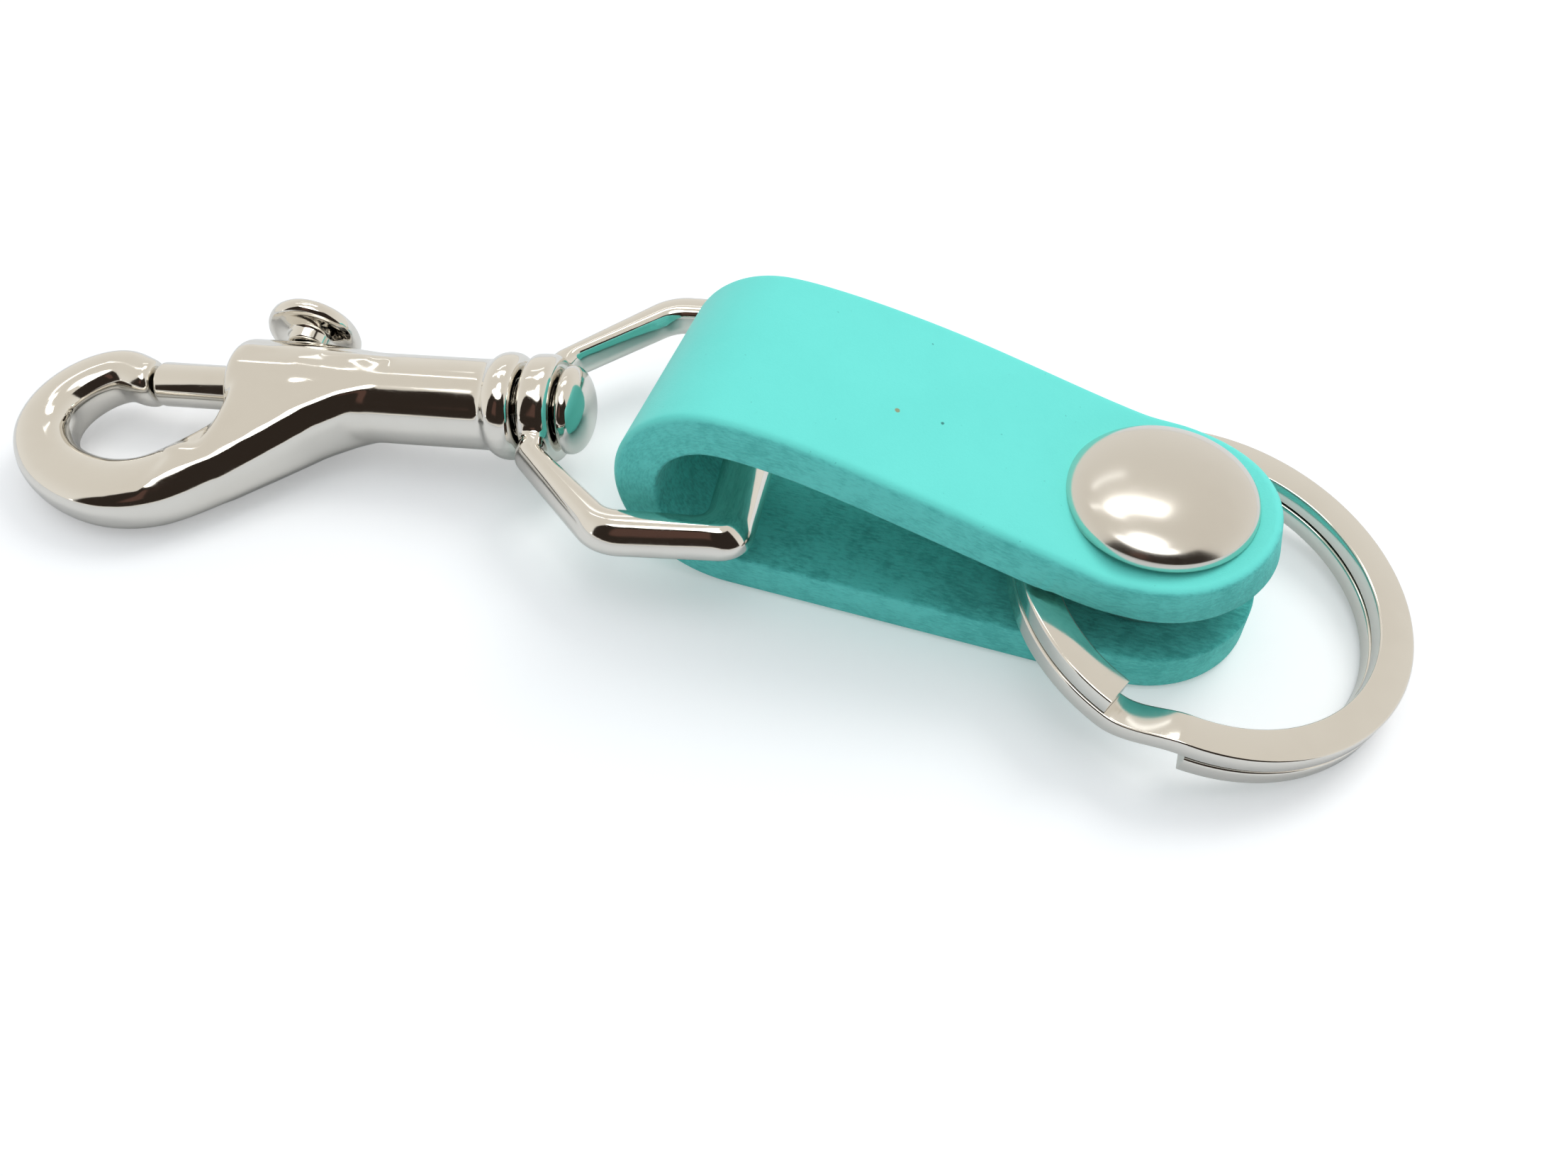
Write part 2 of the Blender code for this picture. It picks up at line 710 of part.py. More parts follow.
def make_bolt_spring(finish, swivel_frame):
    """Coil spring in the barrel between the rivet's end and the bolt."""
    start = bolt_back() + gap + coil_wire_radius
    end = -rivet_stem_depth - gap - coil_wire_radius
    count = coil_turns * coil_points_per_turn
    curve = bpy.data.curves.new("bolt_spring", "CURVE")
    curve.dimensions = "3D"
    curve.bevel_depth = coil_wire_radius
    curve.bevel_resolution = 1
    curve.use_fill_caps = True
    spline = curve.splines.new("POLY")
    spline.points.add(count)
    for index in range(count + 1):
        angle = math.tau * index / coil_points_per_turn
        place = start + (end - start) * index / count
        spline.points[index].co = (place, coil_radius * math.cos(angle),
                                   coil_radius * math.sin(angle), 1.0)
    curve.materials.append(finish)
    spring = bpy.data.objects.new("bolt_spring", curve)
    bpy.context.scene.collection.objects.link(spring)
    spring.parent = swivel_frame[0]
    pitch = (end - start) / coil_turns
    print("bolt_spring least gap between turns, mm:", (pitch - 2.0 * coil_wire_radius) * 1000.0)
    return spring


def build():
    """Model the whole keychain."""
    clear_scene()
    leather_finish = make_material("leather", leather_colour, 0.0, leather_roughness)
    cap_finish = make_material("cap_nickel", cap_colour, 1.0, cap_roughness)
    nickel = make_material("nickel", nickel_colour, 1.0, nickel_roughness)
    steel = make_material("steel", steel_colour, 1.0, cap_roughness)

    flap_frame = make_empty("flap_hinge", Matrix.Translation(
        (-fold_to_snap - fold_radius, 0.0, fold_radius)))
    ring_turn = Matrix.Rotation(math.asin(ring_rise / ring_outer_radius), 4, "Y")
    ring_half = ring_coil + ring_coil_gap / 2.0
    ring_past_snap = ring_outer_radius - ring_wire - socket_radius - ring_play
    ring_low = Vector((ring_past_snap, -ring_aside, ring_rise))
    ring_centre = ring_low + ring_turn.to_3x3() @ Vector((0.0, 0.0, ring_half))
    ring_frame = make_empty("ring_axis", Matrix.Translation(ring_centre) @ ring_turn)
    eye_centre = Matrix.Translation((-fold_to_snap - eye_past_fold, eye_aside,
                                     fold_radius + eye_above_fold))
    eye_turn = Matrix.Rotation(eye_yaw, 4, "Z") @ Matrix.Rotation(-eye_slope, 4, "Y")
    eye_frame = make_empty("eye_hinge", eye_centre @ eye_turn)
    to_groove = Matrix.Translation((-eye_reach, 0.0, 0.0))
    swivel = eye_frame[1] @ to_groove @ Matrix.Rotation(hook_roll, 4, "X")
    swivel_frame = make_empty("swivel_axis", swivel, eye_frame)
    bolt_frame = make_empty("bolt_axis", swivel @ Matrix.Translation((knob_place(), 0.0, 0.0)),
                            swivel_frame)

    make_strap_lower(leather_finish)
    make_snap_post(steel)
    make_snap_stud(steel)
    make_strap_flap(leather_finish, flap_frame)
    make_snap_cap(cap_finish, flap_frame)
    make_snap_socket(steel, flap_frame)
    make_socket_spring(steel, flap_frame)
    make_key_ring(nickel, ring_frame)
    make_swivel_eye(nickel, eye_frame)
    make_swivel_rivet(nickel, swivel_frame)
    make_hook_body(nickel, swivel_frame)
    make_bolt_spring(steel, swivel_frame)
    make_bolt(nickel, bolt_frame)
    make_thumb_knob(nickel, bolt_frame)


build()
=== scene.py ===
"""Valet keychain dressed for its picture: leather strap, snap, swivel hook and split ring.

Lengths are in metres, in the part's frame: X along the strap, Y across it and Z up.
"""

import bisect
import math

import bmesh
import bpy
from mathutils import Matrix, Vector


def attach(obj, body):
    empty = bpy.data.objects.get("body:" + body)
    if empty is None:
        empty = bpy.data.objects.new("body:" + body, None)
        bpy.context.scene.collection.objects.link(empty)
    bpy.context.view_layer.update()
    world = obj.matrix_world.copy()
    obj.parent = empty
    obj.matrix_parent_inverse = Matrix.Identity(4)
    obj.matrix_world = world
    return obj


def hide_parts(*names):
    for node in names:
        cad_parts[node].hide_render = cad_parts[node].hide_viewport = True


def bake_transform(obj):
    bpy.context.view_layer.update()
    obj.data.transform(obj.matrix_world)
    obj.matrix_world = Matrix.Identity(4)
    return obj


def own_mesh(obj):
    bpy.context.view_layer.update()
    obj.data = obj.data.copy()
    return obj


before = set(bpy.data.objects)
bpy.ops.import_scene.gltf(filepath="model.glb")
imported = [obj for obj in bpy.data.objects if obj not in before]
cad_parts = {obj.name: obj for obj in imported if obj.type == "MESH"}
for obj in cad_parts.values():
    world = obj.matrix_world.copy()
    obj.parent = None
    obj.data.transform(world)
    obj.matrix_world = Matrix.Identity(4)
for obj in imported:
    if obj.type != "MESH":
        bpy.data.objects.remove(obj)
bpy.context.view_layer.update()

# Leather
strap_width = 0.0185
leather = 0.0038
fold_radius = 0.0095
fold_at = -0.0329
overhang = 0.0092
flap_height = 0.0122
snap_flat = 0.0018
lip_rise = 0.0007
fold_ease = 0.0100
snap_ease = 0.0035
grain_rim = 0.0007
flesh_rim = 0.00025
flap_twist = 0.00025
twist_start = -0.030
twist_full = -0.015
cap_dent = 0.00030
dent_inner = 0.0070
dent_outer = 0.0102
dent_depth = 0.0015
bend_pace = 0.0006

# Snap
gap = 0.0003
overrun = 0.001
plate = 0.0005
cap_radius = 0.0075
cap_height = 0.0028
cap_roll = 0.0002
post_radius = 0.0019
post_head_radius = 0.0026
socket_radius = 0.0060
socket_cavity_radius = 0.0044
socket_mouth_radius = 0.0039
socket_lip = 0.0008
stud_base_radius = 0.0058
stud_neck_radius = 0.0026
stud_bulge = 0.0004
stud_wall = 0.0006
stud_seat_radius = 0.0053
stud_seat_depth = 0.0011
flange_radius = 0.0050
flange = 0.0008
post_bore_radius = 0.0012
post_bore_floor = 0.0014

# Ring, its angles in degrees from its top end to its low end
ring_outer = 0.0162
ring_wire = 0.0028
ring_coil = 0.0016
ring_step = 0.0009
ring_rim = 0.00022
ring_centre = (0.005515, -0.0014, 0.004671)
ring_rise = 0.0030
ring_top_end = -111.5
ring_jog_start = -450.0
ring_jog_end = -471.0
ring_low_end = -808.0

# Swivel eye, its angles in degrees
eye_past_fold = 0.0011
eye_aside = 0.0026
eye_below_fold = 0.0015
eye_yaw = 9.3
eye_slope = -3.5
eye_reach = 0.0216
eye_half_opening = 0.01225
eye_arm = 0.0034
eye_height = 0.0031
eye_crossbar = 0.0040
eye_shoulder = 0.0114
eye_root_half = 0.0061
eye_back_step = 0.0004
eye_diagonal = 0.0033
eye_taper = 0.0006
eye_splay = 40.5
eye_corner = 0.0026
eye_tight_corner = 0.0010
eye_far_swell = 0.12
boss_back = 0.0010
boss_front = 0.0040
boss_radius = 0.0048
boss_edge = 0.0009
rivet_radius = 0.0039
rivet_side = 0.0006
rivet_dome = 0.0018
rivet_edge = 0.0003
rivet_stem = 0.0019
rivet_depth = 0.0060

# Hook, its roll in degrees
hook_roll = 8.0
hook_back = 0.0006
collar_radius = 0.0048
collar_length = 0.0028
collar_edge = 0.0009
barrel_radius = 0.00405
barrel_length = 0.0265
mouth_radius = 0.00465
mouth_edge = 0.0006
bow_reach = 0.0443
bow_depth = 0.0127
bow_width = 0.0062
bow_height = 0.0052
bow_squareness = 2.6
web_height = 0.00445
web_middle = -0.022
web_fall_aside = 0.15
web_fall_back = 0.045
web_rim_drop = 0.0016
web_rim = 0.0013

# Bolt, knob and spring
bolt_radius = 0.00205
bolt_tip_gap = 0.0004
bolt_edge = 0.0004
bolt_behind_knob = 0.0035
bolt_travel = 0.0080
knob_at = -0.0223
knob_pin = 0.0011
knob_stem_radius = 0.0021
knob_stem = 0.0013
knob_radius = 0.0043
knob_thickness = 0.0022
slot_width = 0.0028
slot_depth = 0.0090
spring_start = -0.0183
spring_end = -0.0065
spring_wire = 0.0002
spring_radius = 0.0014
spring_turns = 9


def turn_about(axis, degrees):
    """A turn about one axis."""
    return Matrix.Rotation(math.radians(degrees), 4, axis)


eye_centre = (fold_at - eye_past_fold, eye_aside, fold_radius - eye_below_fold)
eye_place = Matrix.Translation(eye_centre) @ turn_about("Z", eye_yaw) @ turn_about("Y", eye_slope)
swivel_place = eye_place @ Matrix.Translation((-eye_reach, 0.0, 0.0)) @ turn_about("X", hook_roll)
bolt_place = swivel_place @ Matrix.Translation((knob_at, 0.0, 0.0))
ring_tilt = math.degrees(math.asin(ring_rise / ring_outer))
ring_place = Matrix.Translation(ring_centre) @ turn_about("Y", ring_tilt)
to_length = turn_about("Y", 90.0)
to_side = turn_about("X", -90.0)
upward = Vector((0.0, 0.0, 1.0))


# Shaping helpers

def as_object(name, bm):
    """Put a bmesh in a new object."""
    mesh = bpy.data.meshes.new(name)
    bm.to_mesh(mesh)
    bm.free()
    thing = bpy.data.objects.new(name, mesh)
    bpy.context.scene.collection.objects.link(thing)
    return thing


def with_modifiers(thing, *others):
    """The object's mesh with its modifiers applied, and the objects taken away."""
    bm = bmesh.new()
    bm.from_object(thing, bpy.context.evaluated_depsgraph_get())
    for spent in (thing, *others):
        mesh = spent.data
        bpy.data.objects.remove(spent)
        bpy.data.meshes.remove(mesh)
    return bm


def combine(bm, tool, operation):
    """Join two closed shapes, or cut the second from the first."""
    for shape in (bm, tool):
        bmesh.ops.recalc_face_normals(shape, faces=shape.faces[:])
    thing, other = as_object("shape", bm), as_object("tool", tool)
    step = thing.modifiers.new("combine", "BOOLEAN")
    step.operation = operation
    step.solver = "EXACT"
    step.object = other
    return with_modifiers(thing, other)


def turned(profile, sides=96, soften=0.0, segments=3):
    """Turn a profile of (distance from the axis, height) points about Z, and ease its corners."""
    bm = bmesh.new()
    chain = [bm.verts.new((radius, 0.0, height)) for radius, height in profile]
    for first, second in zip(chain, chain[1:]):
        bm.edges.new((first, second))
    bmesh.ops.spin(bm, geom=bm.verts[:] + bm.edges[:], cent=(0.0, 0.0, 0.0), axis=(0.0, 0.0, 1.0),
                   angle=math.tau, steps=sides, use_merge=True)
    bmesh.ops.remove_doubles(bm, verts=bm.verts[:], dist=0.000001)
    bmesh.ops.dissolve_degenerate(bm, edges=bm.edges[:], dist=0.000001)
    bmesh.ops.recalc_face_normals(bm, faces=bm.faces[:])
    if soften:
        ease(bm, soften, segments)
    return bm


def ease(bm, offset, segments=3):
    """Round the sharp edges of a closed shape."""
    sharp = [edge for edge in bm.edges if len(edge.link_faces) == 2
             and edge.calc_face_angle() > math.radians(35.0)]
    bmesh.ops.bevel(bm, geom=sharp, offset=offset, segments=segments, affect="EDGES", profile=0.5,
                    material=-1, clamp_overlap=True)


def drawn(bm, places, closed=False):
    """Draw a flat face out through a list of places; a closed run ends where it began."""
    first = bm.faces[:]
    bmesh.ops.transform(bm, matrix=places[0], verts=bm.verts[:])
    end = first
    for before, after in zip(places, places[1:]):
        new = bmesh.ops.extrude_face_region(bm, geom=end)["geom"]
        if end != first:
            bmesh.ops.delete(bm, geom=end, context="FACES_ONLY")
        end = [item for item in new if isinstance(item, bmesh.types.BMFace)]
        bmesh.ops.transform(bm, matrix=after @ before.inverted(),
                            verts=[item for item in new if isinstance(item, bmesh.types.BMVert)])
    if closed:
        bmesh.ops.delete(bm, geom=[face for face in first + end if face.is_valid],
                         context="FACES_ONLY")
        bmesh.ops.remove_doubles(bm, verts=bm.verts[:], dist=0.000005)
    bmesh.ops.recalc_face_normals(bm, faces=bm.faces[:])
    return bm


def skinned(bm, voxel, rounds):
    """One even skin over a casting, with its inner corners filled a little."""
    thing = as_object("casting", bm)
    step = thing.modifiers.new("skin", "REMESH")
    step.mode = "VOXEL"
    step.voxel_size = voxel
    bm = with_modifiers(thing)
    for _ in range(rounds):
        bmesh.ops.smooth_vert(bm, verts=bm.verts[:], factor=0.5, use_axis_x=True, use_axis_y=True,
                              use_axis_z=True)
    return bm


def facing(first, second):
    """A turn whose first two columns are two directions at right angles, and its third both's."""
    return Matrix((first, second, first.cross(second))).transposed().to_4x4()


def placed(bm, place):
    """Move a shape to its place."""
    bmesh.ops.transform(bm, matrix=place, verts=bm.verts[:])
    return bm


def finished(name, bm, finish, nodes, body=None, angle=40.0):
    """Make a piece of a shape: its finish, the nodes it replaces and its body."""
    bmesh.ops.recalc_face_normals(bm, faces=bm.faces[:])
    piece = as_object(name, bm)
    piece.data.shade_smooth()
    piece.data.set_sharp_from_angle(angle=math.radians(angle))
    piece.data.materials.append(finish)
    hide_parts(*nodes)
    if body:
        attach(piece, body)
    return piece


def smooth_step(low, high, value):
    """0 on the low side, 1 on the high side, and an even curve between."""
    share = min(max((value - low) / (high - low), 0.0), 1.0)
    return share * share * (3.0 - 2.0 * share)


def smooth_value(values, share):
    """Read a smooth value at a share along a list of evenly spaced ones."""
    last = len(values) - 1
    place = min(max(share, 0.0), 1.0) * last
    index = min(int(place), last - 1)
    part = place - index
    before, start = values[max(index - 1, 0)], values[index]
    end, after = values[index + 1], values[min(index + 2, last)]
    square, cube = part * part, part * part * part
    return 0.5 * (2.0 * start + (end - before) * part
                  + (2.0 * before - 5.0 * start + 4.0 * end - after) * square
                  + (3.0 * start - before - 3.0 * end + after) * cube)


# Node helpers

def feed(tree, inputs, values):
    """Link each input that is given another socket, and set each that is given a value."""
    for name, value in values.items():
        if isinstance(value, bpy.types.NodeSocket):
            tree.links.new(value, inputs[name])
        else:
            inputs[name].default_value = value


def add(tree, kind, values=None, **settings):
    """Add a node with its settings, and feed the inputs given."""
    node = tree.nodes.new(kind)
    for name, value in settings.items():
        setattr(node, name, value)
    feed(tree, node.inputs, values or {})
    return node


def calc(tree, operation, first, second=0.0, third=0.0):
    """A Math node's result."""
    return add(tree, "ShaderNodeMath", {0: first, 1: second, 2: third},
               operation=operation).outputs[0]


def ramp(tree, value, low, high, to_low=0.0, to_high=1.0):
    """A smooth Map Range's result."""
    return add(tree, "ShaderNodeMapRange", {"Value": value, "From Min": low, "From Max": high,
                                            "To Min": to_low, "To Max": to_high},
               interpolation_type="SMOOTHSTEP").outputs["Result"]


def blend_colour(tree, factor, first, second):
    """A colour Mix node's result."""
    return add(tree, "ShaderNodeMix", {0: factor, 6: first, 7: second}, data_type="RGBA").outputs[2]


def noise(tree, vector, scale, detail=3.0, roughness=0.5):
    """A noise texture's value."""
    return add(tree, "ShaderNodeTexNoise", {"Vector": vector, "Scale": scale, "Detail": detail,
                                            "Roughness": roughness}).outputs["Fac"]


def stretched(tree, vector, scale, turn=(0.0, 0.0, 0.0)):
    """A vector stretched and turned by a Mapping node."""
    return add(tree, "ShaderNodeMapping", {"Vector": vector, "Scale": scale,
                                           "Rotation": turn}).outputs[0]


def new_group(name, inputs, outputs):
    """A node group with its sockets: the tree, what it is given and what it puts out."""
    tree = bpy.data.node_groups.new(name, "ShaderNodeTree")
    for label, kind, value in inputs:
        socket = tree.interface.new_socket(label, in_out="INPUT", socket_type=kind)
        if value is not None:
            socket.default_value = value
    for label, kind in outputs:
        tree.interface.new_socket(label, in_out="OUTPUT", socket_type=kind)
    given = tree.nodes.new("NodeGroupInput").outputs
    return tree, given, tree.nodes.new("NodeGroupOutput").inputs


def use_group(tree, group, values):
    """Place a node group in a material with its own values."""
    return add(tree, "ShaderNodeGroup", values, node_tree=group).outputs


FLOAT, COLOUR, VECTOR = "NodeSocketFloat", "NodeSocketColor", "NodeSocketVector"


def make_plating_group():
    """Plated metal: faint ripples left by polishing, hairline scratches, and dull smudges."""
    tree, given, out = new_group(
        "plating", [("Vector", VECTOR, None), ("Colour", COLOUR, (0.7, 0.7, 0.7, 1.0)),
                    ("Roughness", FLOAT, 0.1), ("Ripple", FLOAT, 1.0), ("Scratches", FLOAT, 1.0)],
        [("Colour", COLOUR), ("Roughness", FLOAT), ("Height", FLOAT)])
    where = given["Vector"]
    smudge = ramp(tree, noise(tree, where, 170.0, 4.0, 0.6), 0.42, 0.72)
    lines = noise(tree, stretched(tree, where, (500.0, 7000.0, 7000.0), (0.3, 0.5, 0.2)), 1.0, 2.0)
    cross = noise(tree, stretched(tree, where, (6000.0, 700.0, 6000.0), (0.7, 0.2, 1.1)), 1.0, 2.0)
    scratch = calc(tree, "MAXIMUM", ramp(tree, lines, 0.66, 0.72), ramp(tree, cross, 0.67, 0.73))
    scratch = calc(tree, "MULTIPLY", scratch, given["Scratches"])
    dull = calc(tree, "MULTIPLY_ADD", smudge, 0.06, given["Roughness"])
    dull = calc(tree, "MULTIPLY_ADD", scratch, 0.10, dull)
    ripple = calc(tree, "MULTIPLY", noise(tree, where, 240.0, 2.0, 0.4), given["Ripple"])
    pits = ramp(tree, noise(tree, where, 2600.0, 2.0, 0.5), 0.30, 0.22)
    height = calc(tree, "MULTIPLY_ADD", scratch, -0.012, ripple)
    height = calc(tree, "MULTIPLY_ADD", pits, -0.01, height)
    tone = blend_colour(tree, calc(tree, "MULTIPLY", smudge, 0.10), given["Colour"],
                        (0.62, 0.57, 0.50, 1.0))
    feed(tree, out, {"Colour": tone, "Roughness": dull, "Height": height})
    return tree


def make_grain_group():
    """Smooth leather: a fine closed grain with a few pores, and a soft mottle in its dye."""
    tree, given, out = new_group(
        "grain", [("Vector", VECTOR, None), ("Colour", COLOUR, (0.5, 0.5, 0.5, 1.0))],
        [("Colour", COLOUR), ("Roughness", FLOAT), ("Height", FLOAT)])
    where = given["Vector"]
    cells = add(tree, "ShaderNodeTexVoronoi", {"Vector": where, "Scale": 3400.0},
                feature="DISTANCE_TO_EDGE").outputs["Distance"]
    crease = ramp(tree, cells, 0.0, 0.16)
    wander = noise(tree, where, 900.0, 4.0, 0.6)
    pores = ramp(tree, noise(tree, where, 2300.0, 2.0, 0.5), 0.20, 0.28)
    height = calc(tree, "MULTIPLY_ADD", crease, 0.35, wander)
    height = calc(tree, "MULTIPLY_ADD", pores, 0.3, height)
    cloud = ramp(tree, noise(tree, where, 130.0, 4.0, 0.6), 0.3, 0.7)
    tone = blend_colour(tree, calc(tree, "MULTIPLY", cloud, 0.16), given["Colour"],
                        (0.115, 0.70, 0.62, 1.0))
    tone = blend_colour(tree, calc(tree, "SUBTRACT", 1.0, pores), tone, (0.10, 0.62, 0.55, 1.0))
    feed(tree, out, {"Colour": tone, "Height": height,
                     "Roughness": calc(tree, "MULTIPLY_ADD", wander, 0.16, 0.40)})
    return tree


def make_fibre_group():
    """Cut or rough-side leather: short matted fibres and dark gaps between them."""
    tree, given, out = new_group(
        "fibre", [("Vector", VECTOR, None), ("Light", COLOUR, (0.5, 0.5, 0.5, 1.0)),
                  ("Dark", COLOUR, (0.2, 0.2, 0.2, 1.0)), ("Length", FLOAT, 1.0)],
        [("Colour", COLOUR), ("Height", FLOAT)])
    where = given["Vector"]
    hairs = noise(tree, stretched(tree, where, (1500.0, 4200.0, 5200.0)), 1.0, 5.0, 0.65)
    tufts = noise(tree, where, 620.0, 4.0, 0.6)
    mat = calc(tree, "MULTIPLY_ADD", tufts, 0.7, hairs)
    patch = noise(tree, where, 150.0, 3.0, 0.5)
    shade = calc(tree, "MULTIPLY_ADD", patch, 0.5, mat)
    tone = blend_colour(tree, ramp(tree, shade, 0.80, 1.32), given["Dark"], given["Light"])
    feed(tree, out, {"Colour": tone, "Height": calc(tree, "MULTIPLY", mat, given["Length"])})
    return tree


def make_speck_group():
    """A small round speck at one place."""
    tree, given, out = new_group(
        "speck", [("Vector", VECTOR, None), ("Place", VECTOR, None), ("Size", FLOAT, 0.0002)],
        [("Mask", FLOAT)])
    away = add(tree, "ShaderNodeVectorMath", {0: given["Vector"], 1: given["Place"]},
               operation="DISTANCE").outputs["Value"]
    uneven = calc(tree, "MULTIPLY_ADD", noise(tree, given["Vector"], 5000.0), 0.00012, away)
    inside = calc(tree, "SUBTRACT", given["Size"], uneven)
    feed(tree, out, {"Mask": ramp(tree, inside, -0.00004, 0.00006)})
    return tree


plating = make_plating_group()
grain = make_grain_group()
fibre = make_fibre_group()
speck = make_speck_group()


def new_material(name):
    """A material, its node tree and its shader's inputs."""
    material = bpy.data.materials.new(name)
    material.use_nodes = True
    tree = material.node_tree
    return material, tree, tree.nodes["Principled BSDF"].inputs


def make_metal(name, colour, roughness, ripple, scratches):
    """A plated or bare metal finish."""
    material, tree, shader = new_material(name)
    where = add(tree, "ShaderNodeTexCoord").outputs["Object"]
    skin = use_group(tree, plating, {"Vector": where, "Colour": colour, "Roughness": roughness,
                                     "Ripple": ripple, "Scratches": scratches})
    relief = add(tree, "ShaderNodeBump", {"Strength": 1.0, "Distance": 0.00002,
                                          "Height": skin["Height"]}).outputs[0]
    feed(tree, shader, {"Metallic": 1.0, "Base Color": skin["Colour"],
                        "Roughness": skin["Roughness"], "Normal": relief})
    return material


def make_leather_finish():
    """Turquoise leather: smooth on its face, matted on its cut edges and its rough side."""
    material, tree, shader = new_material("turquoise_leather")
    flat = add(tree, "ShaderNodeAttribute", attribute_name="flat").outputs["Vector"]
    height = add(tree, "ShaderNodeSeparateXYZ", {0: flat}).outputs["Z"]
    depth = calc(tree, "MULTIPLY", height, -1.0)
    cut = ramp(tree, depth, 0.00008, 0.00055)
    rough_side = ramp(tree, depth, leather - 0.0003, leather - 0.00005)

    face = use_group(tree, grain, {"Vector": flat, "Colour": (0.165, 0.84, 0.745, 1.0)})
    edge = use_group(tree, fibre, {"Vector": flat, "Light": (0.16, 0.78, 0.71, 1.0),
                                   "Dark": (0.095, 0.58, 0.53, 1.0), "Length": 1.0})
    flesh = use_group(tree, fibre, {"Vector": flat, "Light": (0.12, 0.66, 0.60, 1.0),
                                    "Dark": (0.055, 0.40, 0.365, 1.0), "Length": 1.6})
    colour = face["Colour"]
    for place, size, tint in specks:
        spot = use_group(tree, speck, {"Vector": flat, "Place": place, "Size": size})["Mask"]
        colour = blend_colour(tree, spot, colour, tint)
    colour = blend_colour(tree, cut, colour, edge["Colour"])
    colour = blend_colour(tree, rough_side, colour, flesh["Colour"])
    dull = calc(tree, "MAXIMUM", face["Roughness"], calc(tree, "MULTIPLY", cut, 0.85))
    smooth = add(tree, "ShaderNodeBump", {"Strength": 0.35, "Distance": 0.00003,
                                          "Height": face["Height"]}).outputs[0]
    matted = add(tree, "ShaderNodeBump", {"Strength": 0.9, "Distance": 0.00011,
                                          "Height": calc(tree, "MULTIPLY", edge["Height"], cut),
                                          "Normal": smooth}).outputs[0]
    feed(tree, shader, {"Base Color": colour, "Roughness": dull, "Specular IOR Level": 0.35,
                        "Sheen Weight": 0.08, "Sheen Roughness": 0.5, "Normal": matted})
    return material


# Marks on the leather laid flat: place along, across and below its face, size and colour
specks = [((0.0842, -0.0018, 0.0), 0.00028, (0.30, 0.34, 0.20, 1.0)),
          ((0.0878, -0.0012, 0.0), 0.00020, (0.03, 0.24, 0.21, 1.0)),
          ((0.0848, 0.0065, 0.0), 0.00014, (0.06, 0.42, 0.38, 1.0)),
          ((0.1040, 0.0072, 0.0), 0.00024, (0.03, 0.22, 0.20, 1.0))]

warm_nickel = (0.80, 0.775, 0.725, 1.0)
leather_finish = make_leather_finish()
bright_nickel = make_metal("bright_nickel", warm_nickel, roughness=0.07, ripple=1.0, scratches=0.6)
satin_nickel = make_metal("satin_nickel", (0.74, 0.71, 0.66, 1.0), roughness=0.17, ripple=0.6,
                          scratches=0.5)
ring_nickel = make_metal("ring_nickel", warm_nickel, roughness=0.09, ripple=0.5, scratches=1.0)
plain_steel = make_metal("plain_steel", (0.56, 0.56, 0.55, 1.0), roughness=0.28, ripple=0.3,
                         scratches=1.0)
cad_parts["socket_spring"].material_slots[0].material = plain_steel


# Leather

def flap_outline():
    """The upper layer's top line, from the top of the fold to its round end."""
    start = Vector((fold_at, fold_radius * 2.0))
    finish = Vector((-snap_flat, flap_height))
    leave, arrive = start + Vector((fold_ease, 0.0)), finish - Vector((snap_ease, 0.0))
    points = []
    steps = 160
    for step in range(1, steps + 1):
        t = step / steps
        s = 1.0 - t
        points.append(start * s ** 3 + leave * 3.0 * s * s * t + arrive * 3.0 * s * t * t
                      + finish * t ** 3)
    pace = 0.00025
    for step in range(1, 45):
        reach = step * pace - snap_flat
        rise = max(reach - snap_flat, 0.0) / (overhang - snap_flat)
        points.append(Vector((reach, flap_height + lip_rise * rise * rise)))
    return points


def strap_line():
    """The leather's outer line from its lower end to its upper, with its length so far."""
    steps = 120
    points = [Vector((overhang - step * (overhang - fold_at) / steps, 0.0))
              for step in range(steps)]
    points += [Vector((fold_at - fold_radius * math.sin(math.pi * step / steps),
                       fold_radius - fold_radius * math.cos(math.pi * step / steps)))
               for step in range(steps + 1)]
    points += flap_outline()
    reached = [0.0]
    for first, second in zip(points, points[1:]):
        reached.append(reached[-1] + (second - first).length)
    return points, reached


line_points, line_reached = strap_line()
flap_snap_at = next(reached for point, reached in zip(line_points, line_reached)
                    if point.y > fold_radius and point.x > -0.0001)
strap_length = flap_snap_at + overhang


def on_strap(along, across, depth):
    """The place in the folded strap of a point in the flat one.

    The flap is a little twisted between the fold and the snap, and pressed in by the cap.
    """
    index = min(max(bisect.bisect_right(line_reached, along) - 1, 1), len(line_points) - 3)
    part = (along - line_reached[index]) / (line_reached[index + 1] - line_reached[index])
    point = line_points[index].lerp(line_points[index + 1], part)
    before = line_points[index + 1] - line_points[index - 1]
    after = line_points[index + 2] - line_points[index]
    run = before.normalized().lerp(after.normalized(), part).normalized()
    inward = Vector((run.y, -run.x))
    point = point + inward * depth
    lift = 0.0
    if point.y > fold_radius:
        slope = smooth_step(twist_start, twist_full, point.x) * smooth_step(0.003, -0.003, point.x)
        from_cap = smooth_step(dent_inner, dent_outer, math.hypot(point.x, across))
        from_top = smooth_step(0.0, dent_depth, depth)
        lift = flap_twist * slope * across / (strap_width / 2.0)
        lift -= cap_dent * (1.0 - from_cap) * (1.0 - from_top)
    return Vector((point.x, across, point.y + lift))


def slice_across(bm, place, direction):
    """Cut every face at one plane, so that it can bend there."""
    bmesh.ops.bisect_plane(bm, geom=bm.verts[:] + bm.edges[:] + bm.faces[:], dist=0.000002,
                           plane_co=place, plane_no=direction)


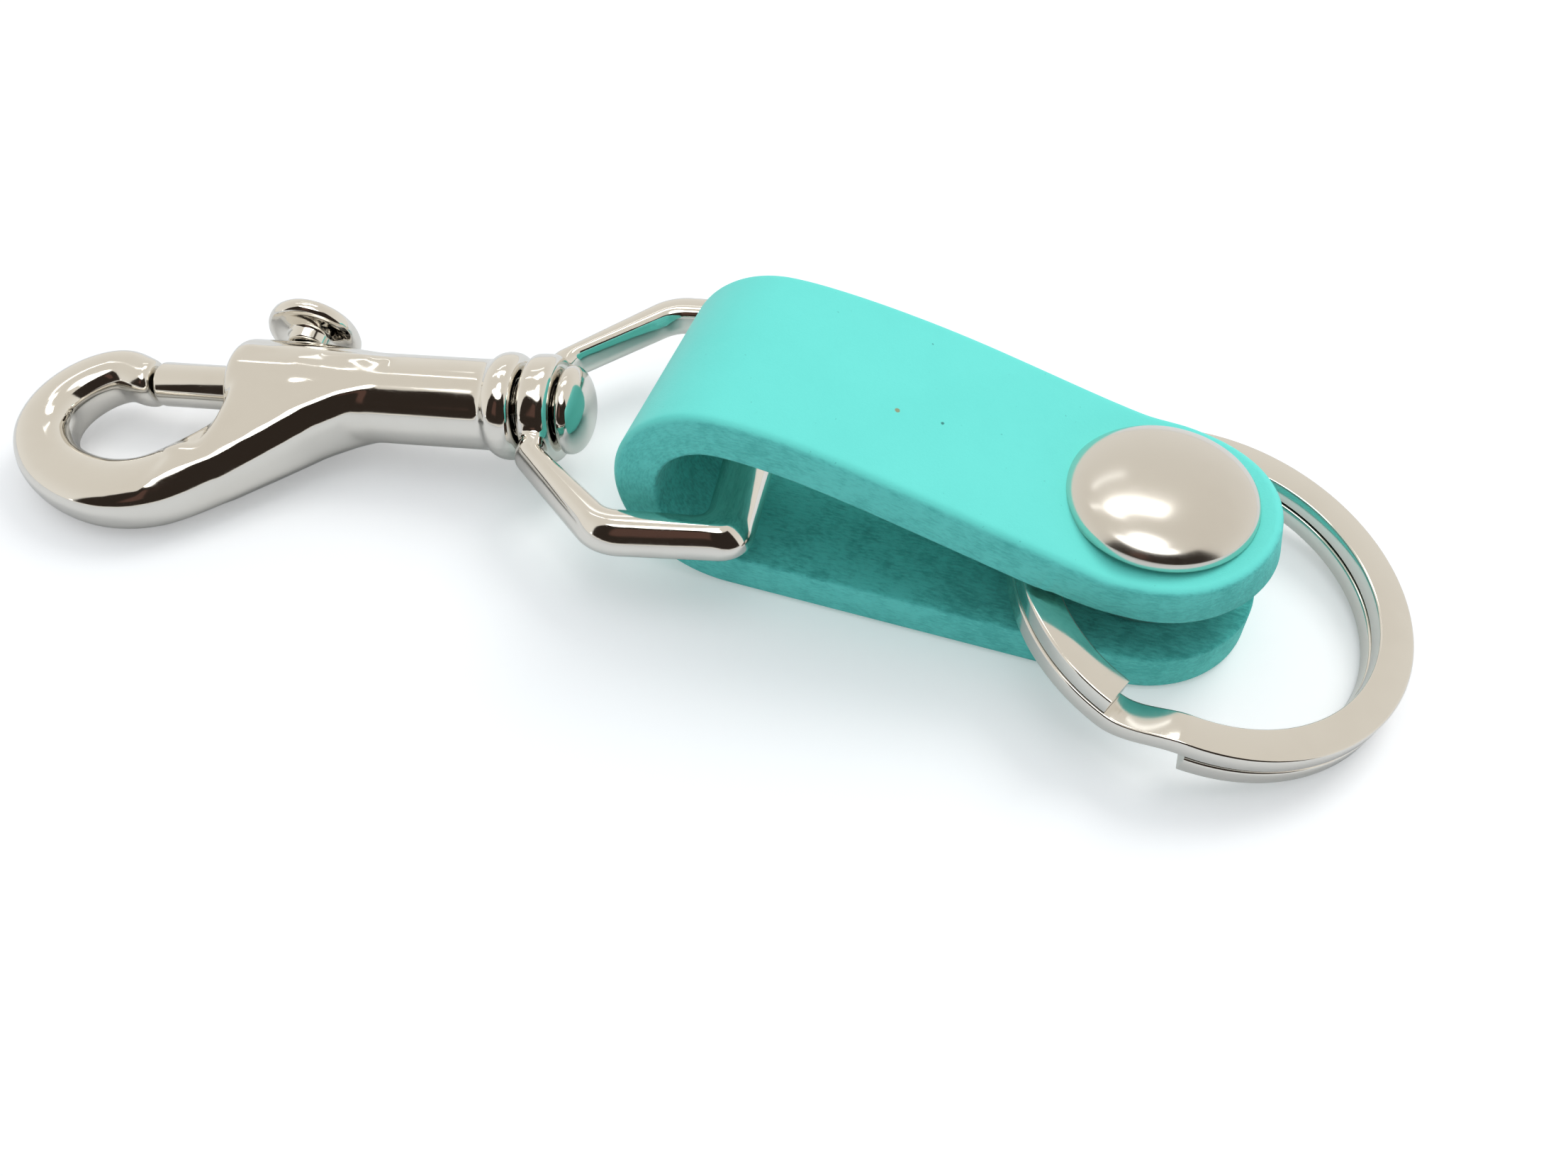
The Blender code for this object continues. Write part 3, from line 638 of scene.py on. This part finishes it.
def make_leather_strip():
    """One strip with round ends, rounded on its face side, folded round the crossbar."""
    half = strap_width / 2.0
    bm = bmesh.new()
    bmesh.ops.create_circle(bm, cap_ends=True, segments=120, radius=half,
                            matrix=turn_about("Z", 1.5))
    bmesh.ops.translate(bm, verts=[vert for vert in bm.verts if vert.co.x > 0.0],
                        vec=(strap_length - strap_width, 0.0, 0.0))
    bmesh.ops.translate(bm, verts=bm.verts[:], vec=(half, 0.0, 0.0))
    new = bmesh.ops.extrude_face_region(bm, geom=bm.faces[:])["geom"]
    bmesh.ops.translate(bm, verts=[item for item in new if isinstance(item, bmesh.types.BMVert)],
                        vec=(0.0, 0.0, -leather))
    bmesh.ops.recalc_face_normals(bm, faces=bm.faces[:])
    for high, rim, rounds in ((0.0, grain_rim, 6), (-leather, flesh_rim, 2)):
        rims = [edge for edge in bm.edges if edge.calc_face_angle(0.0) > 1.0
                and all(abs(vert.co.z - high) < 0.00001 for vert in edge.verts)]
        bmesh.ops.bevel(bm, geom=rims, offset=rim, segments=rounds, affect="EDGES", profile=0.5,
                        material=-1)
    hole = post_radius + gap
    above, below = 2.0 * overrun, -6.0 * overrun
    for at, seat in ((overhang, stud_seat_radius), (flap_snap_at, hole)):
        tool = turned([(0.0, above), (seat, above), (seat, -stud_seat_depth),
                       (hole, -stud_seat_depth), (hole, below), (0.0, below)], 64)
        bm = combine(bm, placed(tool, Matrix.Translation((at, 0.0, 0.0))), "DIFFERENCE")
    along_cuts = round(strap_length / bend_pace)
    for step in range(1, along_cuts):
        slice_across(bm, (strap_length * step / along_cuts, 0.0, 0.0), (1.0, 0.0, 0.0))
    side_cuts = 14
    for step in range(-side_cuts, side_cuts + 1):
        slice_across(bm, (0.0, half * 0.9 * step / side_cuts, 0.0), (0.0, 1.0, 0.0))
    flat = bm.verts.layers.float_vector.new("flat")
    for vert in bm.verts:
        vert[flat] = vert.co
        vert.co = on_strap(*vert.co.xy, -vert.co.z)
    strip = finished("leather_strip", bm, leather_finish, ("strap_lower", "strap_flap"),
                     angle=50.0)
    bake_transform(strip)


# Snap

def make_cap():
    """Domed cap with a rolled rim, its post down through the upper layer."""
    seat = flap_height
    post_head = seat - leather - gap - plate - gap
    roll_height, hollow, roundness = cap_roll * 1.5, cap_roll / 2.0, 2.2
    profile = [(0.0, post_head - plate), (post_head_radius, post_head - plate),
               (post_head_radius, post_head), (post_radius, post_head),
               (post_radius, seat + hollow), (cap_radius - 4.0 * cap_roll, seat + hollow),
               (cap_radius - 3.0 * cap_roll, seat), (cap_radius - cap_roll, seat)]
    profile += [(cap_radius - cap_roll + cap_roll * math.sin(math.radians(angle)),
                 seat + roll_height - roll_height * math.cos(math.radians(angle)))
                for angle in (30.0, 60.0, 90.0)]
    steps = 45
    for step in range(6, steps + 1):
        out = math.cos(math.pi / 2.0 * step / steps) if step < steps else 0.0
        rise = (cap_height - roll_height) * (1.0 - out ** roundness) ** 0.5
        profile.append((cap_radius * out, seat + roll_height + rise))
    finished("cap_shell", turned(profile, 128), satin_nickel, ("snap_cap",), "flap",
             50.0)


def make_socket():
    """Open cup under the upper layer."""
    bore = post_radius + gap
    top = flap_height - leather - gap
    rim = leather + gap + plate + gap
    profile = [(bore, top), (bore, top - plate), (socket_cavity_radius, top - plate),
               (socket_cavity_radius, rim + socket_lip), (socket_mouth_radius, rim + socket_lip),
               (socket_mouth_radius, rim), (socket_radius, rim), (socket_radius, top), (bore, top)]
    finished("socket_shell", turned(profile, soften=0.00022), plain_steel, ("snap_socket",),
             "flap")


def make_stud_and_post():
    """Hollow stud on the lower layer, and the rivet that holds it."""
    low = leather + gap
    top = flap_height - leather - gap - plate - gap - plate - gap
    base = low + plate
    bore = post_radius + gap
    bulb_shares = [(0.0, 0.0), (0.05, 0.15), (0.25, 0.35), (0.70, 0.48), (1.0, 0.62), (1.0, 0.80),
                   (0.90, 0.93), (0.70, 1.0)]
    profile = [(bore, low), (stud_base_radius, low), (stud_base_radius, base)]
    profile += [(stud_neck_radius + stud_bulge * out, base + (top - base) * up)
                for out, up in bulb_shares]
    profile += [(bore, top), (bore, low)]
    finished("stud_shell", turned(profile, 72, soften=0.00012, segments=2), plain_steel,
             ("snap_stud",), "strap")
    post_top = top - stud_wall
    profile = [(0.0, 0.0), (flange_radius, 0.0), (flange_radius, flange), (post_radius, flange),
               (post_radius, post_top), (post_bore_radius, post_top),
               (post_bore_radius, post_bore_floor), (0.0, post_bore_floor)]
    finished("post_shell", turned(profile, 72, soften=0.00015, segments=2), plain_steel,
             ("snap_post",), "strap")


# Ring

def make_ring():
    """Two turns of flat wire with square-cut ends and one step between the turns."""
    bm = bmesh.new()
    bmesh.ops.create_grid(bm, x_segments=1, y_segments=1, size=0.5,
                          matrix=Matrix.Diagonal((ring_wire, ring_coil, 1.0, 1.0)))
    bmesh.ops.bevel(bm, geom=bm.verts[:], offset=ring_rim, segments=4, affect="VERTICES",
                    profile=0.5, material=-1)
    middle = ring_outer - ring_wire / 2.0
    places = []
    steps = 560
    for step in range(steps + 1):
        degrees = ring_top_end + (ring_low_end - ring_top_end) * step / steps
        height = ring_step * (1.0 - 2.0 * smooth_step(-ring_jog_start, -ring_jog_end, -degrees))
        angle = math.radians(degrees)
        out = Vector((math.cos(angle), math.sin(angle), 0.0))
        places.append(Matrix.Translation(out * middle + upward * height) @ facing(out, upward))
    finished("split_ring", placed(drawn(bm, places), ring_place), ring_nickel,
             ("key_ring",), "ring")


# Swivel eye

corner_steps = 10


def rounded_corner(before, corner, after, radius):
    """Points round one corner of an outline."""
    before, corner, after = Vector(before), Vector(corner), Vector(after)
    back, ahead = (before - corner).normalized(), (after - corner).normalized()
    half = back.angle(ahead) / 2.0
    reach = radius / math.tan(half)
    middle = corner + (back + ahead).normalized() * (radius / math.sin(half))
    start, end = corner + back * reach - middle, corner + ahead * reach - middle
    turn = start.angle_signed(end)
    points = []
    for step in range(corner_steps + 1):
        spoke = start.copy()
        spoke.rotate(Matrix.Rotation(-turn * step / corner_steps, 2))
        points.append(middle + spoke)
    return points


def eye_outlines():
    """Inner and outer points of one half of the eye, from its boss to its crossbar."""
    slope = math.tan(math.radians(eye_splay))
    inner_face, outer_face = eye_reach - eye_crossbar / 2.0, eye_reach + eye_crossbar / 2.0
    inner_side, outer_side = eye_half_opening, eye_half_opening + eye_arm
    root_side = inner_side - (eye_shoulder - boss_front) * slope
    diagonal_side = inner_side + eye_diagonal / math.cos(math.radians(eye_splay))
    outer_shoulder = eye_shoulder - (diagonal_side - outer_side) / slope
    back = boss_back + eye_back_step
    bend_start = back + max(outer_shoulder - (outer_side - eye_root_half) / slope - boss_back, 0.0)
    root, inner_bend = (boss_front, root_side), (eye_shoulder, inner_side)
    outer_bend, outer_end = (outer_shoulder, outer_side), (outer_face, outer_side - eye_taper)
    inner = [Vector(((boss_back + boss_front) / 2.0, 0.0))]
    inner += [Vector(root)] * (corner_steps + 1)
    inner += rounded_corner(root, inner_bend, (inner_face, inner_side), eye_corner)
    inner += rounded_corner(inner_bend, (inner_face, inner_side), (inner_face, 0.0),
                            eye_tight_corner)
    outer = [Vector((back, 0.0))]
    outer += rounded_corner((back, 0.0), (boss_back, eye_root_half), outer_bend, eye_tight_corner)
    outer += rounded_corner((bend_start, eye_root_half), outer_bend, outer_end, eye_corner * 2.0)
    outer += rounded_corner(outer_bend, outer_end, (outer_face, 0.0), eye_corner)
    return inner, outer


# Section of the eye's frame, as shares: out from its inner face, and up
eye_section_shares = [(0.0, -0.22), (0.0, 0.22), (0.02, 0.34), (0.08, 0.43), (0.16, 0.485),
                      (0.27, 0.50), (0.46, 0.495), (0.59, 0.465), (0.66, 0.42), (0.725, 0.355),
                      (0.80, 0.258), (0.875, 0.145), (0.935, 0.023), (0.975, -0.10),
                      (0.995, -0.226), (0.987, -0.34), (0.935, -0.435), (0.84, -0.49),
                      (0.68, -0.50), (0.27, -0.50), (0.16, -0.485), (0.08, -0.43), (0.02, -0.34)]


def make_eye():
    """Cast frame, flat inside and faceted outside, with a bored boss for the rivet."""
    inner, outer = eye_outlines()
    half = list(zip(inner, outer))
    whole = half + [(Vector((a.x, -a.y)), Vector((b.x, -b.y))) for a, b in reversed(half[1:])]
    places = []
    for inside, outside in whole + whole[:1]:
        across = (outside - inside) * (1.0 + eye_far_swell * smooth_step(0.002, 0.006, inside.y))
        out = Vector((*across.normalized(), 0.0))
        places.append(Matrix.Translation((inside.x - eye_reach, inside.y, 0.0))
                      @ facing(out, upward)
                      @ Matrix.Diagonal((across.length, eye_height, 1.0, 1.0)))
    bm = bmesh.new()
    corners = [bm.verts.new((*share, 0.0)) for share in eye_section_shares]
    bmesh.ops.contextual_create(bm, geom=corners)
    bm = drawn(bm, places, True)
    at_boss = Matrix.Translation((-eye_reach, 0.0, 0.0)) @ to_length
    boss = turned([(0.0, boss_back), (boss_radius, boss_back), (boss_radius, boss_front),
                   (0.0, boss_front)], soften=boss_edge, segments=5)
    bm = combine(bm, placed(boss, at_boss), "UNION")
    bore = rivet_stem + gap
    hole = turned([(0.0, -overrun), (bore, -overrun), (bore, boss_front + overrun),
                   (0.0, boss_front + overrun)], 64)
    bm = combine(bm, placed(hole, at_boss), "DIFFERENCE")
    bm = skinned(bm, voxel=0.00017, rounds=12)
    finished("eye_casting", placed(bm, eye_place), bright_nickel, ("swivel_eye",), "eye",
             60.0)


def make_rivet():
    """Domed rivet through the boss."""
    head = boss_front + gap
    profile = [(0.0, -rivet_depth), (rivet_stem, -rivet_depth), (rivet_stem, head),
               (rivet_radius - rivet_edge, head), (rivet_radius, head + rivet_edge),
               (rivet_radius, head + rivet_side)]
    steps = 20
    for step in range(1, steps + 1):
        angle = math.pi / 2.0 * step / steps
        out = math.cos(angle) if step < steps else 0.0
        profile.append((rivet_radius * out, head + rivet_side + rivet_dome * math.sin(angle)))
    finished("rivet_pin", placed(turned(profile), swivel_place @ to_length), bright_nickel,
             ("swivel_rivet",), "hook", 50.0)


# Hook

# The bow from its tip to its root, as shares: forward, aside, width and height
bow_shares = [(0.797, 0.0, 0.62, 0.84), (0.822, 0.005, 0.66, 0.88), (0.875, 0.055, 0.70, 0.92),
              (0.927, -0.010, 0.74, 0.94), (0.969, -0.150, 0.77, 0.96),
              (0.993, -0.340, 0.79, 0.97), (0.988, -0.560, 0.82, 0.98),
              (0.943, -0.775, 0.86, 0.99), (0.870, -0.925, 0.91, 1.00),
              (0.780, -0.990, 0.96, 1.02), (0.690, -0.930, 1.00, 1.06),
              (0.600, -0.715, 1.04, 1.13), (0.505, -0.410, 1.04, 1.25),
              (0.410, -0.155, 1.03, 1.38), (0.310, -0.025, 1.00, 1.46), (0.210, 0.010, 0.94, 1.40)]

# Outline of the web between the barrel and the bow, in millimetres
web_outline = [(-26.3, 2.4), (-26.3, -4.0), (-26.6, -6.0), (-27.2, -8.0), (-28.6, -9.4),
               (-31.0, -10.4), (-31.0, -14.7), (-28.6, -13.8), (-27.0, -13.0), (-24.2, -11.3),
               (-21.8, -9.3), (-19.3, -7.2), (-17.5, -5.6), (-15.0, -4.1), (-10.5, -2.2),
               (-10.5, 2.4)]


def bow_point(share):
    """Centre, width and height of the bow from its tip to its root."""
    along, aside, wide, high = (smooth_value([row[column] for row in bow_shares], share)
                                for column in range(4))
    return Vector((-bow_reach * along, bow_depth * aside)), bow_width * wide, bow_height * high


def make_bow():
    """The curved bar of the hook, its section between a circle and a square."""
    bm = bmesh.new()
    bmesh.ops.create_circle(bm, cap_ends=True, segments=48, radius=0.5)
    for vert in bm.verts:
        cos, sin = abs(vert.co.x) * 2.0, abs(vert.co.y) * 2.0
        vert.co *= (cos ** bow_squareness + sin ** bow_squareness) ** (-1.0 / bow_squareness)
    places = []
    steps = 96
    for step in range(steps + 1):
        share = step / steps
        centre, width, height = bow_point(share)
        run = bow_point(min(share + 0.01, 1.0))[0] - bow_point(max(share - 0.01, 0.0))[0]
        if step == 0:
            run = Vector((-1.0, 0.0))
        run.normalize()
        places.append(Matrix.Translation((*centre, 0.0))
                      @ facing(Vector((-run.y, run.x, 0.0)), upward)
                      @ Matrix.Diagonal((width, height, 1.0, 1.0)))
    bow = drawn(bm, places)
    ease(bow, 0.0005)
    return bow


def add_web(bow):
    """A flat web with a lowered rim, thinner aside and towards the barrel, on both faces."""
    corners = [bow.verts.new((0.001 * along, 0.001 * aside, 0.0)) for along, aside in web_outline]
    web = bmesh.ops.contextual_create(bow, geom=corners)["faces"]
    new = bmesh.ops.extrude_face_region(bow, geom=web, use_keep_orig=True)["geom"]
    raised = [item for item in new if isinstance(item, bmesh.types.BMVert)]
    bmesh.ops.translate(bow, verts=raised, vec=(0.0, 0.0, overrun))
    bmesh.ops.recalc_face_normals(bow, faces=bow.faces[:])
    rim = set(corners + raised)
    flats = web + [item for item in new if isinstance(item, bmesh.types.BMFace)]
    flats = [face for face in flats if len(face.verts) == len(web_outline)]
    bmesh.ops.inset_individual(bow, faces=flats, thickness=web_rim)
    for vert in rim | {vert for face in flats for vert in face.verts}:
        height = web_height + web_fall_aside * vert.co.y
        height -= web_fall_back * (vert.co.x - web_middle)
        height -= web_rim_drop if vert in rim else 0.0
        vert.co.z = height if vert.co.z > overrun / 2.0 else -height


def make_barrel():
    """The barrel with its collar at the back and its thicker mouth in front."""
    front = -barrel_length
    collar = hook_back - collar_length
    profile = [(0.0, hook_back), (collar_radius - collar_edge, hook_back),
               (collar_radius - 0.3 * collar_edge, hook_back - 0.3 * collar_edge),
               (collar_radius, hook_back - collar_edge), (collar_radius, collar + collar_edge),
               (collar_radius - 0.4 * collar_edge, collar + 0.2 * collar_edge),
               (barrel_radius, collar), (barrel_radius, front + barrel_length / 2.0),
               (mouth_radius, front + barrel_length / 4.0), (mouth_radius, front + mouth_edge),
               (mouth_radius - mouth_edge, front), (0.0, front)]
    return placed(turned(profile), to_length)


def make_hook():
    """Barrel, collar and bow cast in one, bored for the bolt and slotted for its knob."""
    bow = make_bow()
    add_web(bow)
    bow = skinned(bow, voxel=0.00025, rounds=4)
    bm = combine(bow, make_barrel(), "UNION")
    bore, front, back = bolt_radius + gap, -barrel_length - overrun, hook_back + overrun
    hole = turned([(0.0, front), (bore, front), (bore, back), (0.0, back)], 64)
    bm = combine(bm, placed(hole, to_length), "DIFFERENCE")
    slot = bmesh.new()
    low, high = knob_at - knob_pin - gap, knob_at + bolt_travel + knob_pin + gap
    middle = Matrix.Translation(((low + high) / 2.0, slot_depth / 2.0, 0.0))
    bmesh.ops.create_cube(slot, size=1.0, matrix=middle
                          @ Matrix.Diagonal((high - low, slot_depth, slot_width, 1.0)))
    bm = combine(bm, slot, "DIFFERENCE")
    bm = skinned(bm, voxel=0.0002, rounds=12)
    finished("hook_casting", placed(bm, swivel_place), bright_nickel, ("hook_body",),
             "hook", 60.0)


def make_bolt():
    """Round bolt with eased ends, bored for the knob's pin."""
    front = bolt_tip_gap - bow_reach * bow_shares[0][0] - knob_at
    back = bolt_behind_knob
    bolt = turned([(0.0, front), (bolt_radius, front), (bolt_radius, back), (0.0, back)], 72,
                  soften=bolt_edge, segments=4)
    bore = knob_pin + gap
    hole = turned([(0.0, bolt_radius - bore), (bore, bolt_radius - bore),
                   (bore, bolt_radius + overrun), (0.0, bolt_radius + overrun)], 40)
    bolt = combine(placed(bolt, to_length), placed(hole, to_side), "DIFFERENCE")
    finished("bolt_pin", placed(bolt, bolt_place), bright_nickel, ("bolt",), "bolt")


def make_knob():
    """The thumb knob on its stem, its pin in the bolt."""
    pin_end = bolt_radius - knob_pin
    foot = mouth_radius + gap
    disc = foot + knob_stem
    edge = 0.0002
    disc_shares = [(0.80, 0.0), (0.90, 0.03), (0.965, 0.11), (0.995, 0.24), (1.0, 0.40),
                   (0.985, 0.55), (0.94, 0.68), (0.86, 0.79), (0.74, 0.88), (0.58, 0.94),
                   (0.40, 0.98), (0.20, 1.0), (0.0, 1.0)]
    profile = [(0.0, pin_end), (knob_pin, pin_end), (knob_pin, foot),
               (knob_stem_radius - edge, foot), (knob_stem_radius, foot + edge),
               (knob_stem_radius, disc - 1.5 * edge), (knob_stem_radius + 1.5 * edge, disc)]
    profile += [(knob_radius * out, disc + knob_thickness * up) for out, up in disc_shares]
    finished("thumb_stud", placed(turned(profile), bolt_place @ to_side), bright_nickel,
             ("thumb_knob",), "bolt", 50.0)


def make_spring():
    """Coil spring in the barrel, drawn at one length; the real one shortens as the bolt slides
    back.
    """
    bm = bmesh.new()
    bmesh.ops.create_circle(bm, cap_ends=True, segments=10, radius=spring_wire)
    coiled = spring_end - spring_start
    places = []
    steps = spring_turns * 24
    for step in range(steps + 1):
        angle = math.tau * spring_turns * step / steps
        out = Vector((0.0, math.cos(angle), math.sin(angle)))
        climb = coiled / (math.tau * spring_turns * spring_radius)
        run = Vector((climb, -out.z, out.y)).normalized()
        turn = Matrix((out, run.cross(out), run)).transposed().to_4x4()
        middle = Vector((spring_start + coiled * step / steps, 0.0, 0.0)) + out * spring_radius
        places.append(Matrix.Translation(middle) @ turn)
    spring = finished("coil_spring", placed(drawn(bm, places), swivel_place), plain_steel,
                      ("bolt_spring",), "hook", 50.0)
    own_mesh(spring)


make_leather_strip()
make_cap()
make_socket()
make_stud_and_post()
make_ring()
make_eye()
make_rivet()
make_hook()
make_bolt()
make_knob()
make_spring()


# Floor, light and camera

def make_floor():
    """A wide pale table under the keychain."""
    bm = bmesh.new()
    bmesh.ops.create_grid(bm, x_segments=4, y_segments=4, size=1.6,
                          matrix=Matrix.Translation((-0.02, 0.0, -0.00005)))
    floor = as_object("table_top", bm)
    material, tree, shader = new_material("white_table")
    cloud = noise(tree, add(tree, "ShaderNodeTexCoord").outputs["Object"], 9.0, 3.0)
    tone = blend_colour(tree, cloud, (0.86, 0.865, 0.87, 1.0), (0.88, 0.885, 0.89, 1.0))
    seen = add(tree, "ShaderNodeLightPath").outputs["Is Camera Ray"]
    feed(tree, shader, {"Base Color": tone, "Roughness": 0.6, "Specular IOR Level": 0.2,
                        "Emission Color": (1.0, 1.0, 1.0, 1.0),
                        "Emission Strength": calc(tree, "MULTIPLY", seen, 0.26)})
    floor.data.materials.append(material)


def make_disc_group():
    """A round light in one direction, its radius in degrees."""
    tree, given, out = new_group(
        "sky_disc", [("Direction", VECTOR, None), ("Towards", VECTOR, None), ("Radius", FLOAT, 1.2),
                     ("Soft", FLOAT, 0.6)],
        [("Mask", FLOAT)])
    nearness = add(tree, "ShaderNodeVectorMath", {0: given["Direction"], 1: given["Towards"]},
                   operation="DOT_PRODUCT").outputs["Value"]
    away = calc(tree, "DEGREES", calc(tree, "ARCCOSINE", calc(tree, "MINIMUM", nearness, 1.0)))
    inside = calc(tree, "DIVIDE", calc(tree, "SUBTRACT", given["Radius"], away), given["Soft"])
    feed(tree, out, {"Mask": ramp(tree, inside, -0.5, 0.5)})
    return tree


def make_patch_group():
    """A patch of sky between two directions round and two heights, in degrees."""
    tree, given, out = new_group(
        "sky_patch", [("Direction", VECTOR, None), ("Middle", FLOAT, 0.0),
                      ("Half Width", FLOAT, 30.0), ("Low", FLOAT, 10.0), ("High", FLOAT, 60.0),
                      ("Soft", FLOAT, 2.0)],
        [("Mask", FLOAT)])
    turned_back = add(tree, "ShaderNodeVectorRotate", {
        "Vector": given["Direction"],
        "Angle": calc(tree, "RADIANS", calc(tree, "MULTIPLY", given["Middle"], -1.0))},
        rotation_type="Z_AXIS").outputs[0]
    split = add(tree, "ShaderNodeSeparateXYZ", {0: turned_back}).outputs
    round_about = calc(tree, "ABSOLUTE", calc(tree, "DEGREES", calc(
        tree, "ARCTAN2", split["Y"], split["X"])))
    height = calc(tree, "DEGREES", calc(tree, "ARCSINE", split["Z"]))
    masks = []
    for more, less in ((given["Half Width"], round_about), (height, given["Low"]),
                       (given["High"], height)):
        inside = calc(tree, "DIVIDE", calc(tree, "SUBTRACT", more, less), given["Soft"])
        masks.append(ramp(tree, inside, -0.5, 0.5))
    mask = calc(tree, "MULTIPLY", calc(tree, "MULTIPLY", masks[0], masks[1]), masks[2])
    feed(tree, out, {"Mask": mask})
    return tree


# Parts of the room: direction, half width, low and high edges and softness, in degrees; colour
patches = [(-74.5, 59.5, 2.5, 56.0, 3.5, (0.030, 0.022, 0.017, 1.0)),
           (-98.0, 9.0, 22.0, 48.0, 7.0, (0.10, 0.055, 0.043, 1.0)),
           (116.0, 36.0, 60.0, 69.0, 3.0, (3.6, 3.6, 3.492, 1.0)),
           (122.0, 16.0, 44.5, 47.0, 1.5, (1.8, 1.8, 1.746, 1.0)),
           (-93.0, 50.0, 57.5, 68.0, 3.0, (3.2, 3.2, 3.104, 1.0))]

# Round lights in the room: direction, height, radius and softness, in degrees
discs = [(-95.0, 77.0, 12.0, 5.0), (-136.0, 4.0, 1.3, 0.6), (162.0, 50.5, 1.3, 0.6),
         (159.0, 53.0, 1.4, 0.6), (155.5, 55.5, 1.2, 0.6), (153.5, 57.5, 1.2, 0.6),
         (150.0, 64.5, 1.4, 0.6), (147.0, 68.0, 1.5, 0.6), (143.0, 71.0, 1.3, 0.6)]


def make_world():
    """A pale room that the metal shows: a dark part behind the camera, windows and lamps.

    Other rays see an even light, a little darker towards the camera, and the camera sees white.
    """
    world = bpy.data.worlds.new("room")
    bpy.context.scene.world = world
    world.use_nodes = True
    tree = world.node_tree
    tree.nodes.clear()
    direction = add(tree, "ShaderNodeTexCoord").outputs["Generated"]
    sky_patch, sky_disc = make_patch_group(), make_disc_group()

    def patch(middle, half_width, low, high, soft):
        return use_group(tree, sky_patch, {"Direction": direction, "Middle": middle,
                                           "Half Width": half_width, "Low": low, "High": high,
                                           "Soft": soft})["Mask"]

    def disc(middle, height, radius, soft):
        round_about, up = math.radians(middle), math.radians(height)
        towards = (math.cos(round_about) * math.cos(up), math.sin(round_about) * math.cos(up),
                   math.sin(up))
        return use_group(tree, sky_disc, {"Direction": direction, "Towards": towards,
                                          "Radius": radius, "Soft": soft})["Mask"]

    height = add(tree, "ShaderNodeSeparateXYZ", {0: direction}).outputs["Z"]
    room = blend_colour(tree, ramp(tree, height, 0.1, 0.95), (0.88, 0.85, 0.79, 1.0),
                        (0.78, 0.735, 0.66, 1.0))
    for *edges, colour in patches:
        room = blend_colour(tree, patch(*edges), room, colour)
    for light in discs:
        room = blend_colour(tree, disc(*light), room, (3.0, 3.0, 2.95, 1.0))
    even = blend_colour(tree, patch(-110.0, 80.0, 0.0, 70.0, 30.0), (0.64, 0.67, 0.70, 1.0),
                        (0.42, 0.44, 0.46, 1.0))
    rays = add(tree, "ShaderNodeLightPath").outputs
    colour = blend_colour(tree, rays["Is Glossy Ray"], even, room)
    colour = blend_colour(tree, rays["Is Camera Ray"], colour, (1.0, 1.0, 1.0, 1.0))
    back = add(tree, "ShaderNodeBackground", {"Color": colour, "Strength": 1.0})
    out = add(tree, "ShaderNodeOutputWorld")
    tree.links.new(back.outputs[0], out.inputs["Surface"])


def make_lamp(name, place, size, power, colour):
    """A square soft light that looks at the keychain's middle."""
    target = (-0.02, 0.0, 0.0)
    lamp = bpy.data.lights.new(name, "AREA")
    lamp.size = size
    lamp.energy = power
    lamp.color = colour
    thing = bpy.data.objects.new(name, lamp)
    thing.location = place
    thing.rotation_euler = (Vector(place) - Vector(target)).to_track_quat("Z", "Y").to_euler()
    thing.visible_glossy = False
    bpy.context.scene.collection.objects.link(thing)


def make_camera():
    """The camera at the picture's view."""
    lens = bpy.data.cameras.new("camera")
    lens.sensor_width = 36.0
    lens.lens = 30.85
    lens.clip_start = 0.005
    lens.clip_end = 20.0
    camera = bpy.data.objects.new("camera", lens)
    bpy.context.scene.collection.objects.link(camera)
    turn, down, roll = (math.radians(angle) for angle in (20.115, 50.635, -1.354))
    ahead = Vector((-math.sin(turn) * math.cos(down), math.cos(turn) * math.cos(down),
                    -math.sin(down)))
    right = Vector((math.cos(turn), math.sin(turn), 0.0))
    above = right.cross(ahead)
    right, above = (right * math.cos(roll) + above * math.sin(roll),
                    above * math.cos(roll) - right * math.sin(roll))
    place = (-0.00318, -0.07622, 0.08847)
    camera.matrix_world = (Matrix.Translation(place)
                           @ Matrix((right, above, -ahead)).transposed().to_4x4())
    bpy.context.scene.camera = camera


make_floor()
make_world()
make_lamp("key", (0.16, 0.34, 0.46), size=0.26, power=1.2, colour=(1.0, 0.99, 0.97))
make_lamp("overhead", (-0.05, 0.02, 0.60), size=0.5, power=0.6, colour=(0.97, 0.99, 1.0))
make_camera()
bpy.context.scene.view_settings.view_transform = "Standard"
